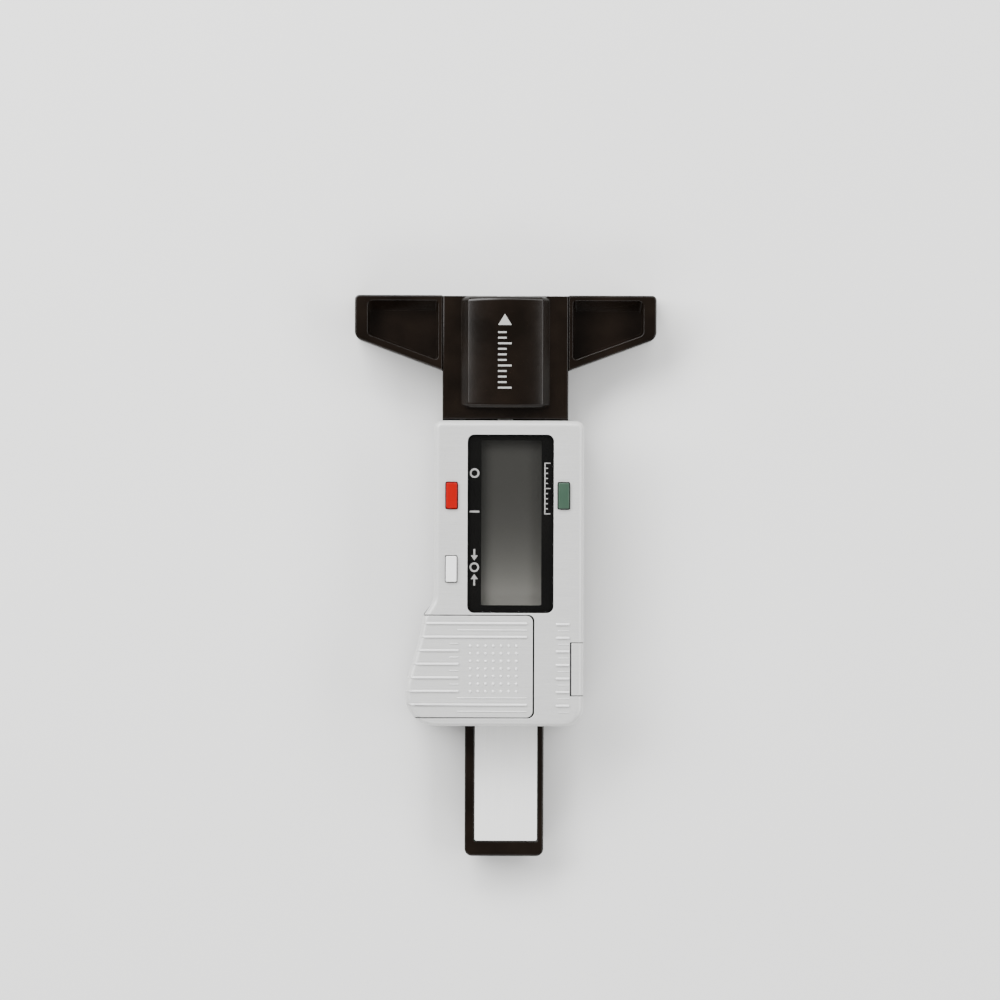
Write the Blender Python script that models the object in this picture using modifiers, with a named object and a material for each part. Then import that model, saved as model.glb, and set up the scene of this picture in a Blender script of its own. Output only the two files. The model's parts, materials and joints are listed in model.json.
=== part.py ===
"""A digital tyre tread depth gauge, modelled piece by piece and lying on its back.

+Z is the display side, +Y points to the measuring face of the T-head and +X is to the right of
somebody reading the display. The origin is under the middle of the gauge, on the surface that it
lies on, with x = 0 on the centre line of the sliding beam. Every size below is in millimetres,
and the few functions that make meshes turn them into Blender's metres.
"""

import math

import bmesh
import bpy
from mathutils import Matrix, Vector

MM = 0.001

# Clearances
SEAT = 0.1  # between flat faces that rest on each other
FIT = 0.15  # around a piece that slides or drops into an opening
STEP = 0.05  # between faces of two joined shapes that would otherwise lie in one plane

# Travel of the moving pieces
DEPTH_TRAVEL = 25.4
BUTTON_TRAVEL = 0.45  # and the caps stop on their switches a little later

# Levels of the stack, from the back at 0 to the display side
FLOOR_TOP = 2.0
BASE_TOP = 4.1
RAIL_TOP = 6.2
WING_TOP = 8.0
ROOF_UNDER = 12.9
FACE = 15.0
LID_UNDER = 13.2
BOARD_LOW, BOARD_HIGH = 6.5, 7.3

# T-head and stem
FACE_Y = 55.8  # the measuring face, and the other end is at -FACE_Y
HEAD_HALF = 30.0
TIP_Y = 47.2
STEM_HALF = 12.55
ARMPIT_Y = 40.8
STEM_ROOT_Y = 53.0
WING_BACK = 0.3
END_WALL = 1.5
POCKET_FLOOR = 5.0
POCKET_INNER, POCKET_OUTER = 13.4, 27.4
POCKET_TOP = 54.6
POCKET_RIM = 1.7  # height of the rim under the pocket

# Cover on the stem
COVER_LOW_Y, COVER_HIGH_Y = 31.2, 55.6
DOME_FOOT, DOME_HALF = 8.8, 7.4
DOME_SHOULDER, DOME_TOP = 9.5, 10.9

# Display housing
HOUSING_LEFT, HOUSING_RIGHT = -14.1, 15.6
HOUSING_TOP, HOUSING_BOTTOM = 30.8, -29.6
HOUSING_WALL = 1.3
HOUSING_ROUND = 1.3
WINDOW_LEFT, WINDOW_RIGHT = -7.4, 9.6
WINDOW_BOTTOM, WINDOW_TOP = -7.2, 28.0
WINDOW_CORNER = 1.3
WINDOW_LEDGE = 14.0
WINDOW_FRONT = 14.85
VIEW_LEFT, VIEW_RIGHT = -5.8, 8.0  # the opening under the window
VIEW_BOTTOM, VIEW_TOP = -6.3, 27.2
BEYOND = 25.0  # clear of the housing on both sides

# Sliding beam, its channel and its rails
BEAM_HALF = 7.85
BEAM_LOW, BEAM_HIGH = 2.1, 6.1
CHANNEL_HALF = 8.0
SPRING_ROOM = 0.6
RAIL = 1.0
BEAM_END_Y = FACE_Y - END_WALL - 0.5 - DEPTH_TRAVEL
SCALE_LEFT, SCALE_RIGHT = -5.85, 6.55
SCALE_LOW_Y, SCALE_HIGH_Y = -52.7, 16.85
SCALE_BED = 5.2
SCALE_BOARD, SCALE_LABEL = 0.6, 0.15  # thicknesses
GROOVE_FLOOR = 0.7

# Depth probe, and what fixes it to the beam
PROBE_HALF = 1.5
PROBE_LOW, PROBE_HIGH = 2.9, 4.0
PROBE_ROOT_Y = 18.1
RIVET_Y = (20.4, 25.4)
RIVET_RADIUS, RIVET_HEAD = 0.6, 1.15
STOP_PIN_Y, STOP_PIN_RADIUS = 12.0, 1.0

# Buttons, given as centre x, centre y, width and length
POWER_BUTTON = (-10.55, 15.95, 2.15, 5.1)
ZERO_BUTTON = (-10.6, 1.45, 2.15, 5.1)
UNIT_BUTTON = (11.6, 15.95, 2.15, 5.1)
BUTTON_TOP = 15.6
SWITCH_TOP = 9.2
BUTTON_FOOT = SWITCH_TOP + BUTTON_TRAVEL + SEAT
FLANGE, FLANGE_THICKNESS = 0.6, 0.8
SWITCH_HALF_X, SWITCH_HALF_Y = 1.6, 2.1
PLUNGER_RADIUS, PLUNGER_RISE = 0.8, 0.6

# Battery bay and its lid
LID_RIGHT = 5.85
LID_CORNER = 1.2
LID_BOTTOM, LID_TOP = -28.0, -7.6
LEDGE_WIDTH = 1.8
LEDGE_LOW, LEDGE_HIGH = 12.1, 13.1
SKIRT_LOW = 8.5
RAIL_FOOT = 10.9
HOOK = 0.85  # how far a hooked rail reaches under its ledge
HOOK_LEFT, HOOK_RIGHT = -13.5, 3.5
CELL_X, CELL_Y = -11.2, -18.2
CELL_RADIUS, CELL_HEIGHT = 5.8, 5.4
CELL_LOW = 7.7
CONTACT_RADIUS = 4.2
CONTACT_TAIL = 5.0

# Ribs on the lid and beside it
RIB_PITCH = 2.68
RIB_FIRST_Y = -9.25
RIB_COUNT = 7
RIB_WIDTH, RIB_HEIGHT = 0.45, 0.3
RIB_FIRST_LEFT, RIB_LEAN = -14.2, 0.34  # each rib starts this much further out than the one above
RIB_END = 4.4
SHORT_RIB_END = -9.1
FULL_RIBS = (0, 1, 6)
SIDE_RIB_LEFT, SIDE_RIB_RIGHT = 10.1, 12.8
SIDE_RIB_DROP = 0.15

# Data port cover
PORT_LEFT = 13.05
PORT_BOTTOM, PORT_TOP = -23.6, -13.0
PORT_LOW = 8.5
PORT_SIDE, PORT_FRONT = 14.5, 12.0  # inner faces of the cover's two walls
TONGUE, TONGUE_LOW = 0.9, 11.8  # what reaches under the roof, and its lower face

# Display and what stands on the board
GLASS_LEFT, GLASS_RIGHT = -6.6, 9.0
GLASS_BOTTOM, GLASS_TOP = -6.6, 27.6
GLASS_LOW, GLASS_STEP, GLASS_EDGE = 10.9, 11.9, 0.6
CONNECTOR = 1.4
CHIP_X, CHIP_Y, CHIP_RADIUS = 1.2, 17.5, 3.8
CRYSTAL_LEFT, CRYSTAL_BOTTOM = -0.4, 4.0
CRYSTAL_WIDTH, CRYSTAL_LENGTH = 2.0, 6.2
SOCKET_LEFT, SOCKET_RIGHT = 11.0, 13.7
SOCKET_BOTTOM, SOCKET_TOP = -21.6, -15.0
SOCKET_SLOTS, SLOT_PITCH, SLOT = 4, 1.6, 0.8

# Screws, given as x and y
HOUSING_SCREWS = ((-11.5, 27.0), (12.9, 27.0), (-11.5, -4.0), (12.2, -25.6))
STEM_SCREWS = ((-10.4, 37.0), (10.4, 37.0), (-10.4, 50.5), (10.4, 50.5))
BOARD_SCREWS = ((-10.9, 22.4), (-10.9, 8.8), (12.1, 5.0), (12.1, -7.6))
SCREW_RADIUS, SCREW_HEAD = 0.85, 1.6
SCREW_HEAD_LOW, SCREW_HEAD_HIGH = 0.3, 1.7
HOUSING_SCREW_TOP, STEM_SCREW_TOP = 9.0, 7.0
SCREW_SLOT_HALF, SCREW_SLOT_WIDTH, SCREW_SLOT_DEPTH = 1.1, 0.44, 0.7
BOSS_RADIUS = 1.8
BOARD_SCREW_RADIUS, BOARD_SCREW_HEAD, BOARD_SCREW_TOP = 0.65, 1.25, 10.6
BOARD_BOSS_RADIUS = 1.5


# ---------------------------------------------------------------- scene and materials


def clear_scene():
    for obj in list(bpy.data.objects):
        bpy.data.objects.remove(obj, do_unlink=True)


def new_collection(name):
    made = bpy.data.collections.new(name)
    bpy.context.scene.collection.children.link(made)
    return made


def material(name, color, roughness, metallic=0.0, transmission=0.0):
    made = bpy.data.materials.new(name)
    made.use_nodes = True
    shader = made.node_tree.nodes["Principled BSDF"]
    shader.inputs["Base Color"].default_value = (*color, 1.0)
    shader.inputs["Roughness"].default_value = roughness
    shader.inputs["Metallic"].default_value = metallic
    shader.inputs["Transmission Weight"].default_value = transmission
    made.diffuse_color = (*color, 1.0)
    return made


# ---------------------------------------------------------------- outlines


def rounded(corners, segments=4):
    """Outline points of a polygon whose corners are given as (x, y, radius)."""
    points = []
    for index, (x, y, radius) in enumerate(corners):
        corner = Vector((x, y))
        if not radius:
            points.append(corner)
            continue
        back = (Vector(corners[index - 1][:2]) - corner).normalized()
        on = (Vector(corners[(index + 1) % len(corners)][:2]) - corner).normalized()
        half = back.angle(on) / 2
        centre = corner + (back + on).normalized() * (radius / math.sin(half))
        first = corner + back * (radius / math.tan(half)) - centre
        turn = first.angle_signed(corner + on * (radius / math.tan(half)) - centre)
        for step in range(segments + 1):
            points.append(centre + Matrix.Rotation(-turn * step / segments, 2) @ first)
    return points


def inset(corners, distance):
    """Counter-clockwise (x, y, radius) corners moved inwards, their rounding fitted to the new size."""
    moved = []
    for index, (x, y, radius) in enumerate(corners):
        corner = Vector((x, y))
        before = (corner - Vector(corners[index - 1][:2])).normalized()
        after = (Vector(corners[(index + 1) % len(corners)][:2]) - corner).normalized()
        normals = Vector((-before.y, before.x)), Vector((-after.y, after.x))
        corner += (normals[0] + normals[1]) * distance / (1 + normals[0].dot(normals[1]))
        outwards = before.cross(after) > 0
        moved.append((corner.x, corner.y, max(radius - distance, 0.2) if outwards else radius + distance))
    return moved


def housing_outline(margin=0.0):
    """Front view of the display housing: square at the top, and bulged round the battery."""
    corners = [
        (HOUSING_RIGHT, HOUSING_TOP, 1.5),
        (HOUSING_LEFT, HOUSING_TOP, 1.5),
        (HOUSING_LEFT, -4.6, 2.0),
        (-16.15, -7.9, 2.0),
        (-16.9, -12.2, 30.0),
        (-19.6, -21.4, 10.0),
        (-19.9, HOUSING_BOTTOM, 6.0),
        (HOUSING_RIGHT, HOUSING_BOTTOM, 3.8),
    ]
    return rounded(inset(corners, margin) if margin else corners)


# ---------------------------------------------------------------- meshes


class Maker:
    """Puts each object into the collection of parts or of helpers."""

    def __init__(self):
        self.parts = new_collection("tread_depth_gauge")
        self.helpers = new_collection("cutters")
        self.count = 0

    def helper(self, mesh, centre, rotation=(0, 0, 0)):
        """A solid that only cuts, joins or trims a part."""
        self.count += 1
        obj = bpy.data.objects.new(f"helper_{self.count:03d}", mesh)
        obj.location = Vector(centre) * MM
        obj.rotation_euler = rotation
        obj.hide_render = True
        obj.display_type = "WIRE"
        self.helpers.objects.link(obj)
        return obj

    def part(self, name, obj, finish):
        """Turns a helper into the part with this name."""
        self.helpers.objects.unlink(obj)
        self.parts.objects.link(obj)
        obj.name = name
        obj.data.name = name
        obj.hide_render = False
        obj.display_type = "TEXTURED"
        obj.data.materials.append(finish)
        obj.data.shade_smooth()
        obj.data.set_sharp_from_angle(angle=math.radians(35))
        return obj


clear_scene()
maker = Maker()


def mesh_of(bm):
    mesh = bpy.data.meshes.new("mesh")
    bm.to_mesh(mesh)
    bm.free()
    return mesh


def block(low, high):
    """A box between two corners."""
    low, high = Vector(low), Vector(high)
    bm = bmesh.new()
    bmesh.ops.create_cube(bm, size=1)
    bmesh.ops.scale(bm, vec=(high - low) * MM, verts=bm.verts)
    return maker.helper(mesh_of(bm), (low + high) / 2)


def cylinder(x, y, radius, low, high, sides=20):
    """An upright cylinder."""
    bm = bmesh.new()
    bmesh.ops.create_cone(
        bm,
        cap_ends=True,
        segments=sides,
        radius1=radius * MM,
        radius2=radius * MM,
        depth=(high - low) * MM,
    )
    return maker.helper(mesh_of(bm), (x, y, (low + high) / 2))


def flat_mesh(outline, thickness):
    """The mesh of a filled outline, centred on its own plane, with one face for each cap."""
    curve = bpy.data.curves.new("outline", "CURVE")
    curve.dimensions = "2D"
    curve.fill_mode = "BOTH"
    curve.extrude = thickness / 2 * MM
    spline = curve.splines.new("POLY")
    spline.points.add(len(outline) - 1)
    for point, place in zip(spline.points, outline):
        point.co = (place[0] * MM, place[1] * MM, 0, 1)
    spline.use_cyclic_u = True
    drawn = bpy.data.objects.new("outline", curve)
    bpy.context.scene.collection.objects.link(drawn)
    graph = bpy.context.evaluated_depsgraph_get()
    mesh = bpy.data.meshes.new_from_object(drawn.evaluated_get(graph))
    bpy.data.objects.remove(drawn, do_unlink=True)
    bm = bmesh.new()
    bm.from_mesh(mesh)
    bpy.data.meshes.remove(mesh)
    bmesh.ops.remove_doubles(bm, verts=bm.verts, dist=1e-6)
    bmesh.ops.dissolve_limit(bm, angle_limit=math.radians(0.5), verts=bm.verts, edges=bm.edges)
    bmesh.ops.recalc_face_normals(bm, faces=bm.faces)
    return mesh_of(bm)


def plate(outline, low, high):
    """A flat outline in X and Y with this height range."""
    return maker.helper(flat_mesh(outline, high - low), (0, 0, (low + high) / 2))


def bar(profile, low_y, high_y):
    """A profile in X and Z that runs along Y."""
    upright = (math.radians(90), 0, 0)
    return maker.helper(flat_mesh(profile, high_y - low_y), (0, (low_y + high_y) / 2, 0), upright)


def turned(x, y, profile, steps=20):
    """A profile of (radius, height) points, listed from the top down, turned about the vertical."""
    bm = bmesh.new()
    points = [bm.verts.new((radius * MM, 0, height * MM)) for radius, height in profile]
    for first, second in zip(points, points[1:]):
        bm.edges.new((first, second))
    obj = maker.helper(mesh_of(bm), (x, y, 0))
    screw = obj.modifiers.new("turn", "SCREW")
    screw.steps = steps
    screw.render_steps = steps
    screw.use_merge_vertices = True
    screw.merge_threshold = 0.00001
    return obj


def round_rim(obj, level, width, segments=2):
    """Rounds the edges of an object that lie at one end of its thickness, at this local height."""
    bm = bmesh.new()
    bm.from_mesh(obj.data)
    rim = [edge for edge in bm.edges if all(abs(vert.co.z - level * MM) < 1e-7 for vert in edge.verts)]
    bmesh.ops.bevel(
        bm,
        geom=rim,
        offset=width * MM,
        offset_type="OFFSET",
        segments=segments,
        profile=0.5,
        affect="EDGES",
        clamp_overlap=False,
    )
    bm.to_mesh(obj.data)
    bm.free()
    return obj


def combine(obj, operation, others):
    for other in others:
        boolean = obj.modifiers.new(operation.lower(), "BOOLEAN")
        boolean.operation = operation
        boolean.solver = "EXACT"
        boolean.object = other
    return obj


def cut(obj, *others):
    return combine(obj, "DIFFERENCE", others)


def join(obj, *others):
    return combine(obj, "UNION", others)


def trim(obj, *others):
    return combine(obj, "INTERSECT", others)


# ---------------------------------------------------------------- frame and stem


def wing_pocket(side):
    """The hollow in the front of one wing of the T-head."""
    slope = (TIP_Y - ARMPIT_Y) / (HEAD_HALF - STEM_HALF)
    rim = POCKET_RIM
    inner_y = TIP_Y - (HEAD_HALF - POCKET_INNER) * slope + rim
    outer_y = TIP_Y - (HEAD_HALF - POCKET_OUTER) * slope + rim
    corners = [
        (side * POCKET_OUTER, POCKET_TOP, 0.8),
        (side * POCKET_INNER, POCKET_TOP, 0.4),
        (side * POCKET_INNER, inner_y, 0.4),
        (side * POCKET_OUTER, outer_y, 0.8),
    ]
    if side < 0:
        corners.reverse()
    return plate(rounded(corners, 3), POCKET_FLOOR, WING_TOP + 1)


def screw_holes(places, top):
    """Clearance holes from the back, with a counterbore for each head."""
    holes = []
    for x, y in places:
        holes.append(cylinder(x, y, SCREW_RADIUS + FIT, -1, top))
        holes.append(cylinder(x, y, SCREW_HEAD + FIT, -1, SCREW_HEAD_HIGH + SEAT))
    return holes


def base_outline():
    """Back view of the base and the stem: the housing's outline, drawn in a little, and the stem on it."""
    margin = 0.25
    outline = housing_outline(margin)
    top = HOUSING_TOP - margin
    right = [point for point in outline if point.x > 0 and point.y > 0]
    rest = [point for point in outline if point not in right]
    stem = [
        Vector((STEM_HALF, top)),
        Vector((STEM_HALF, STEM_ROOT_Y)),
        Vector((-STEM_HALF, STEM_ROOT_Y)),
        Vector((-STEM_HALF, top)),
    ]
    return right + stem + rest


def frame(finish):
    """T-head, stem and base in one moulding, with the channel that the beam runs in."""
    slope = (TIP_Y - ARMPIT_Y) / (HEAD_HALF - STEM_HALF)
    hidden_x = STEM_HALF - 1
    hidden_y = ARMPIT_Y - slope
    head = plate(
        rounded(
            [
                (HEAD_HALF, FACE_Y, 0.8),
                (-HEAD_HALF, FACE_Y, 0.8),
                (-HEAD_HALF, TIP_Y, 1.8),
                (-hidden_x, hidden_y, 0),
                (hidden_x, hidden_y, 0),
                (HEAD_HALF, TIP_Y, 1.8),
            ]
        ),
        WING_BACK,
        WING_TOP,
    )
    round_rim(head, (WING_TOP - WING_BACK) / 2, 0.6)
    room_half = STEM_HALF + STEP
    room_for_cover = block((-room_half, 30, BASE_TOP - STEP), (room_half, FACE_Y + 1, WING_TOP + 1))
    base = plate(base_outline(), 0, BASE_TOP)
    round_rim(base, -BASE_TOP / 2, 0.5)
    low_y, turn_y, high_y = HOUSING_BOTTOM + 0.6, HOUSING_TOP + 0.2, FACE_Y - END_WALL - SEAT
    spring_side = CHANNEL_HALF + SPRING_ROOM
    overlap = 0.4
    rails = [
        block((-CHANNEL_HALF - RAIL, low_y, 1), (overlap - CHANNEL_HALF, high_y, RAIL_TOP)),
        block((CHANNEL_HALF - overlap, turn_y - overlap, 1), (CHANNEL_HALF + RAIL, high_y, RAIL_TOP - STEP)),
        block((spring_side - overlap, low_y, 1), (spring_side + RAIL, turn_y, RAIL_TOP)),
    ]
    channel = block(
        (-CHANNEL_HALF, HOUSING_BOTTOM - 2, FLOOR_TOP), (CHANNEL_HALF, FACE_Y - END_WALL, RAIL_TOP + 1)
    )
    spring_bay = block((0, HOUSING_BOTTOM - 2, FLOOR_TOP), (spring_side, turn_y - SEAT, RAIL_TOP + 1))
    probe_slot = block(
        (-PROBE_HALF - FIT, FACE_Y - 5, PROBE_LOW - SEAT), (PROBE_HALF + FIT, FACE_Y + 1, RAIL_TOP + 1)
    )
    groove_half = STOP_PIN_RADIUS + FIT
    stop_groove = block(
        (-groove_half, STOP_PIN_Y - groove_half, GROOVE_FLOOR),
        (groove_half, STOP_PIN_Y + DEPTH_TRAVEL + groove_half, FLOOR_TOP + 1),
    )
    cut(head, room_for_cover, wing_pocket(-1), wing_pocket(1))
    join(head, base, *rails)
    cut(head, channel, spring_bay, probe_slot, stop_groove)
    cut(head, *screw_holes(HOUSING_SCREWS, BASE_TOP + 1), *screw_holes(STEM_SCREWS, BASE_TOP + 1))
    maker.part("frame", head, finish)


def stem_cover(finish):
    """The cover that closes the channel along the stem, with a domed ridge down its middle."""
    half = STEM_HALF - SEAT
    sagitta = DOME_TOP - DOME_SHOULDER
    radius = (DOME_HALF**2 + sagitta**2) / (2 * sagitta)
    reach = math.asin(DOME_HALF / radius)
    steps = 8
    dome = [
        (radius * math.sin(angle), DOME_TOP - radius * (1 - math.cos(angle)))
        for angle in (reach * (1 - 2 * step / steps) for step in range(steps + 1))
    ]
    low = BASE_TOP + SEAT
    profile = [(-half, low), (half, low), (half, WING_TOP), (DOME_FOOT, WING_TOP)]
    profile += dome + [(-DOME_FOOT, WING_TOP), (-half, WING_TOP)]
    cover = bar(profile, COVER_LOW_Y, COVER_HIGH_Y)
    end_y = FACE_Y - END_WALL
    rail_room = CHANNEL_HALF + RAIL + SEAT
    tunnel = block((-rail_room, COVER_LOW_Y - 1, low - 1), (rail_room, end_y, RAIL_TOP + 2 * SEAT))
    hollow_half, wall = 6.6, 0.9
    hollow = block(
        (-hollow_half, COVER_LOW_Y + 2 * wall, RAIL_TOP - 1), (hollow_half, end_y - wall, DOME_SHOULDER - wall)
    )
    holes = [cylinder(x, y, SCREW_RADIUS + SEAT, low - 1, STEM_SCREW_TOP + 0.3) for x, y in STEM_SCREWS]
    cut(cover, tunnel, hollow, *holes)
    maker.part("stem_cover", cover, finish)


def fixing_screw(name, x, y, top, finish):
    """A screw from the back, with its head in the counterbore and a cross slot."""
    screw = turned(
        x,
        y,
        [
            (0, top),
            (SCREW_RADIUS - 0.3, top),
            (SCREW_RADIUS, top - 0.5),
            (SCREW_RADIUS, SCREW_HEAD_HIGH),
            (SCREW_HEAD, SCREW_HEAD_HIGH),
            (SCREW_HEAD, SCREW_HEAD_LOW + 0.3),
            (SCREW_HEAD - 0.4, SCREW_HEAD_LOW),
            (0, SCREW_HEAD_LOW),
        ],
    )
    long, narrow = SCREW_SLOT_HALF, SCREW_SLOT_WIDTH / 2
    slot_low, slot_high = SCREW_HEAD_LOW - 1, SCREW_HEAD_LOW + SCREW_SLOT_DEPTH
    across = block((x - long, y - narrow, slot_low), (x + long, y + narrow, slot_high))
    along = block((x - narrow, y - long, slot_low), (x + narrow, y + long, slot_high))
    cut(screw, across, along)
    maker.part(name, screw, finish)


# ---------------------------------------------------------------- beam and probe


def beam(finish):
    """The sliding bar, with a bed for the scale and a slot for the root of the probe."""
    bar_solid = plate(
        rounded(
            [
                (BEAM_HALF, BEAM_END_Y, 0.8),
                (-BEAM_HALF, BEAM_END_Y, 0.8),
                (-BEAM_HALF, -FACE_Y, 1.4),
                (BEAM_HALF, -FACE_Y, 1.4),
            ]
        ),
        BEAM_LOW,
        BEAM_HIGH,
    )
    round_rim(bar_solid, (BEAM_HIGH - BEAM_LOW) / 2, 0.4)
    above = BEAM_HIGH + 1
    scale_bed = block(
        (SCALE_LEFT - FIT, SCALE_LOW_Y - FIT, SCALE_BED), (SCALE_RIGHT + FIT, SCALE_HIGH_Y + FIT, above)
    )
    slot_half = PROBE_HALF + FIT
    probe_bed = block((-slot_half, PROBE_ROOT_Y - FIT, PROBE_LOW - SEAT), (slot_half, BEAM_END_Y + 1, above))
    rivet_holes = [cylinder(0, y, RIVET_RADIUS + SEAT, 1, PROBE_LOW + 0.5, 16) for y in RIVET_Y]
    pin_hole = cylinder(0, STOP_PIN_Y, STOP_PIN_RADIUS + SEAT, 1, SCALE_BED - 0.8)
    cut(bar_solid, scale_bed, probe_bed, pin_hole, *rivet_holes)
    maker.part("beam", bar_solid, finish)


def scale_strips(board_finish, label_finish):
    """The printed circuit of the scale in its bed, and the label stuck over it."""
    low = SCALE_BED + SEAT / 2
    label_low = low + SCALE_BOARD + SEAT / 2
    board = block((SCALE_LEFT, SCALE_LOW_Y, low), (SCALE_RIGHT, SCALE_HIGH_Y, low + SCALE_BOARD))
    label = block((SCALE_LEFT, SCALE_LOW_Y, label_low), (SCALE_RIGHT, SCALE_HIGH_Y, label_low + SCALE_LABEL))
    maker.part("scale_board", board, board_finish)
    maker.part("scale_label", label, label_finish)


def probe(finish):
    """The thin blade that goes down into the tread, rounded at its tip."""
    blade = plate(
        rounded(
            [
                (PROBE_HALF, FACE_Y, 0.6),
                (-PROBE_HALF, FACE_Y, 0.6),
                (-PROBE_HALF, PROBE_ROOT_Y, 0.3),
                (PROBE_HALF, PROBE_ROOT_Y, 0.3),
            ],
            3,
        ),
        PROBE_LOW,
        PROBE_HIGH,
    )
    cut(blade, *[cylinder(0, y, RIVET_RADIUS + SEAT, 1, PROBE_HIGH + 1, 16) for y in RIVET_Y])
    maker.part("probe", blade, finish)


def rivet(name, y, finish):
    head_low = PROBE_HIGH + SEAT / 2
    maker.part(
        name,
        turned(
            0,
            y,
            [
                (0, head_low + 0.55),
                (RIVET_HEAD - 0.4, head_low + 0.5),
                (RIVET_HEAD, head_low + 0.15),
                (RIVET_HEAD, head_low),
                (RIVET_RADIUS, head_low),
                (RIVET_RADIUS, BEAM_LOW + SEAT),
                (0, BEAM_LOW + SEAT),
            ],
            16,
        ),
        finish,
    )


def stop_pin(finish):
    """The pin under the beam that meets the ends of the groove in the floor."""
    pin = turned(
        0,
        STOP_PIN_Y,
        [
            (0, SCALE_BED - 1),
            (STOP_PIN_RADIUS, SCALE_BED - 1),
            (STOP_PIN_RADIUS, GROOVE_FLOOR + 0.4),
            (STOP_PIN_RADIUS - 0.2, GROOVE_FLOOR + 0.2),
            (0, GROOVE_FLOOR + 0.2),
        ],
    )
    maker.part("stop_pin", pin, finish)


def gib_spring(finish):
    """A bowed leaf beside the beam, which takes up its play and holds it where it is left."""
    length, thickness, bow, steps = 36.0, 0.2, 0.4, 8
    outer_x = CHANNEL_HALF + SPRING_ROOM - SEAT
    curve = [(step / steps * 2 - 1) for step in range(steps + 1)]
    outside = [(outer_x - bow * (1 - t * t), t * length / 2) for t in curve]
    inside = [(x - thickness, y) for x, y in reversed(outside)]
    maker.part("gib_spring", plate(outside + inside, FLOOR_TOP + 0.4, RAIL_TOP - 0.8), finish)


# ---------------------------------------------------------------- housing


def housing_block():
    """The solid outer shape of the display housing, which the lid and the port cover share."""
    solid = plate(housing_outline(), BASE_TOP + SEAT, FACE)
    return round_rim(solid, (FACE - BASE_TOP - SEAT) / 2, HOUSING_ROUND, 3)


def rectangle(left, bottom, right, top, radius):
    corners = [(right, top, radius), (left, top, radius), (left, bottom, radius), (right, bottom, radius)]
    return rounded(corners, 3)


def lid_area(gap):
    """The battery lid's place on the front, shrunk by the gap, and open on the bulged side."""
    right, top, bottom = LID_RIGHT - gap, LID_TOP - gap, LID_BOTTOM + gap
    return rounded(
        [(right, top, LID_CORNER), (-BEYOND, top, 0), (-BEYOND, bottom, 0), (right, bottom, LID_CORNER)]
    )


def side_ribs():
    """The short ribs between the lid and the port cover."""
    ribs = []
    for index in range(RIB_COUNT):
        y = RIB_FIRST_Y - SIDE_RIB_DROP - index * RIB_PITCH
        low = (SIDE_RIB_LEFT, y - RIB_WIDTH / 2, FACE - 0.5)
        ribs.append(block(low, (SIDE_RIB_RIGHT, y + RIB_WIDTH / 2, FACE + RIB_HEIGHT)))
    return ribs


def housing(finish):
    """The silver front shell, with its window, button holes, battery bay, port and screw bosses."""
    shell = housing_block()
    cavity = plate(housing_outline(HOUSING_WALL), BASE_TOP - 1, ROOF_UNDER)
    bosses = [cylinder(x, y, BOSS_RADIUS, BASE_TOP + SEAT + STEP, ROOF_UNDER + 0.5) for x, y in HOUSING_SCREWS]
    bosses += [cylinder(x, y, BOARD_BOSS_RADIUS, BOARD_HIGH + SEAT, ROOF_UNDER + 0.5) for x, y in BOARD_SCREWS]
    hole, board_hole = SCREW_RADIUS + SEAT, BOARD_SCREW_RADIUS + SEAT
    holes = [cylinder(x, y, hole, BASE_TOP - 1, HOUSING_SCREW_TOP + 0.5) for x, y in HOUSING_SCREWS]
    holes += [cylinder(x, y, board_hole, BASE_TOP, BOARD_SCREW_TOP + 0.4) for x, y in BOARD_SCREWS]
    window_seat = plate(
        rectangle(WINDOW_LEFT, WINDOW_BOTTOM, WINDOW_RIGHT, WINDOW_TOP, WINDOW_CORNER), WINDOW_LEDGE, FACE + 1
    )
    window_hole = block((VIEW_LEFT, VIEW_BOTTOM, ROOF_UNDER - 1), (VIEW_RIGHT, VIEW_TOP, FACE + 1))
    way_half = CHANNEL_HALF + RAIL + SPRING_ROOM
    beam_way = block(
        (-way_half, HOUSING_BOTTOM - 1, BASE_TOP - 1), (way_half + SPRING_ROOM, HOUSING_TOP + 1, RAIL_TOP + 0.2)
    )
    bay_top, bay_bottom = LID_TOP - LEDGE_WIDTH, LID_BOTTOM + LEDGE_WIDTH
    ledge = plate(housing_outline(HOUSING_WALL / 2), LEDGE_LOW, LEDGE_HIGH - SEAT)
    ledge_end = (LID_RIGHT + 1, LID_TOP + 0.6, LEDGE_HIGH + 1)
    trim(ledge, block((-BEYOND, HOUSING_BOTTOM, LEDGE_LOW - 1), ledge_end))
    lid_recess = plate(lid_area(0), LEDGE_HIGH, FACE + 1)
    bay = block((-BEYOND, bay_bottom, SKIRT_LOW - SEAT), (LID_RIGHT - 1, bay_top, FACE + 1))
    hook_ways = []
    for edge, outward in ((bay_top, 1), (bay_bottom, -1)):
        low, high = sorted((edge - outward * SEAT, edge + outward * (HOOK + SEAT)))
        way_low = (-BEYOND, low, RAIL_FOOT - SEAT)
        hook_ways.append(block(way_low, (HOOK_RIGHT + 0.5, high, LEDGE_LOW - SEAT / 2)))
    port = block((PORT_LEFT, PORT_BOTTOM, PORT_LOW), (BEYOND, PORT_TOP, FACE + 1))
    button_holes = []
    for x, y, width, length in (POWER_BUTTON, ZERO_BUTTON, UNIT_BUTTON):
        half_x, half_y = width / 2 + FIT, length / 2 + FIT
        low = (x - half_x, y - half_y, ROOF_UNDER - 1)
        button_holes.append(block(low, (x + half_x, y + half_y, FACE + 1)))
    cut(shell, cavity)
    join(shell, *bosses, ledge)
    cut(shell, lid_recess, bay, *hook_ways, window_seat, window_hole, beam_way, port)
    cut(shell, *button_holes, *holes)
    join(shell, *side_ribs())
    maker.part("housing", shell, finish)


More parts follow.
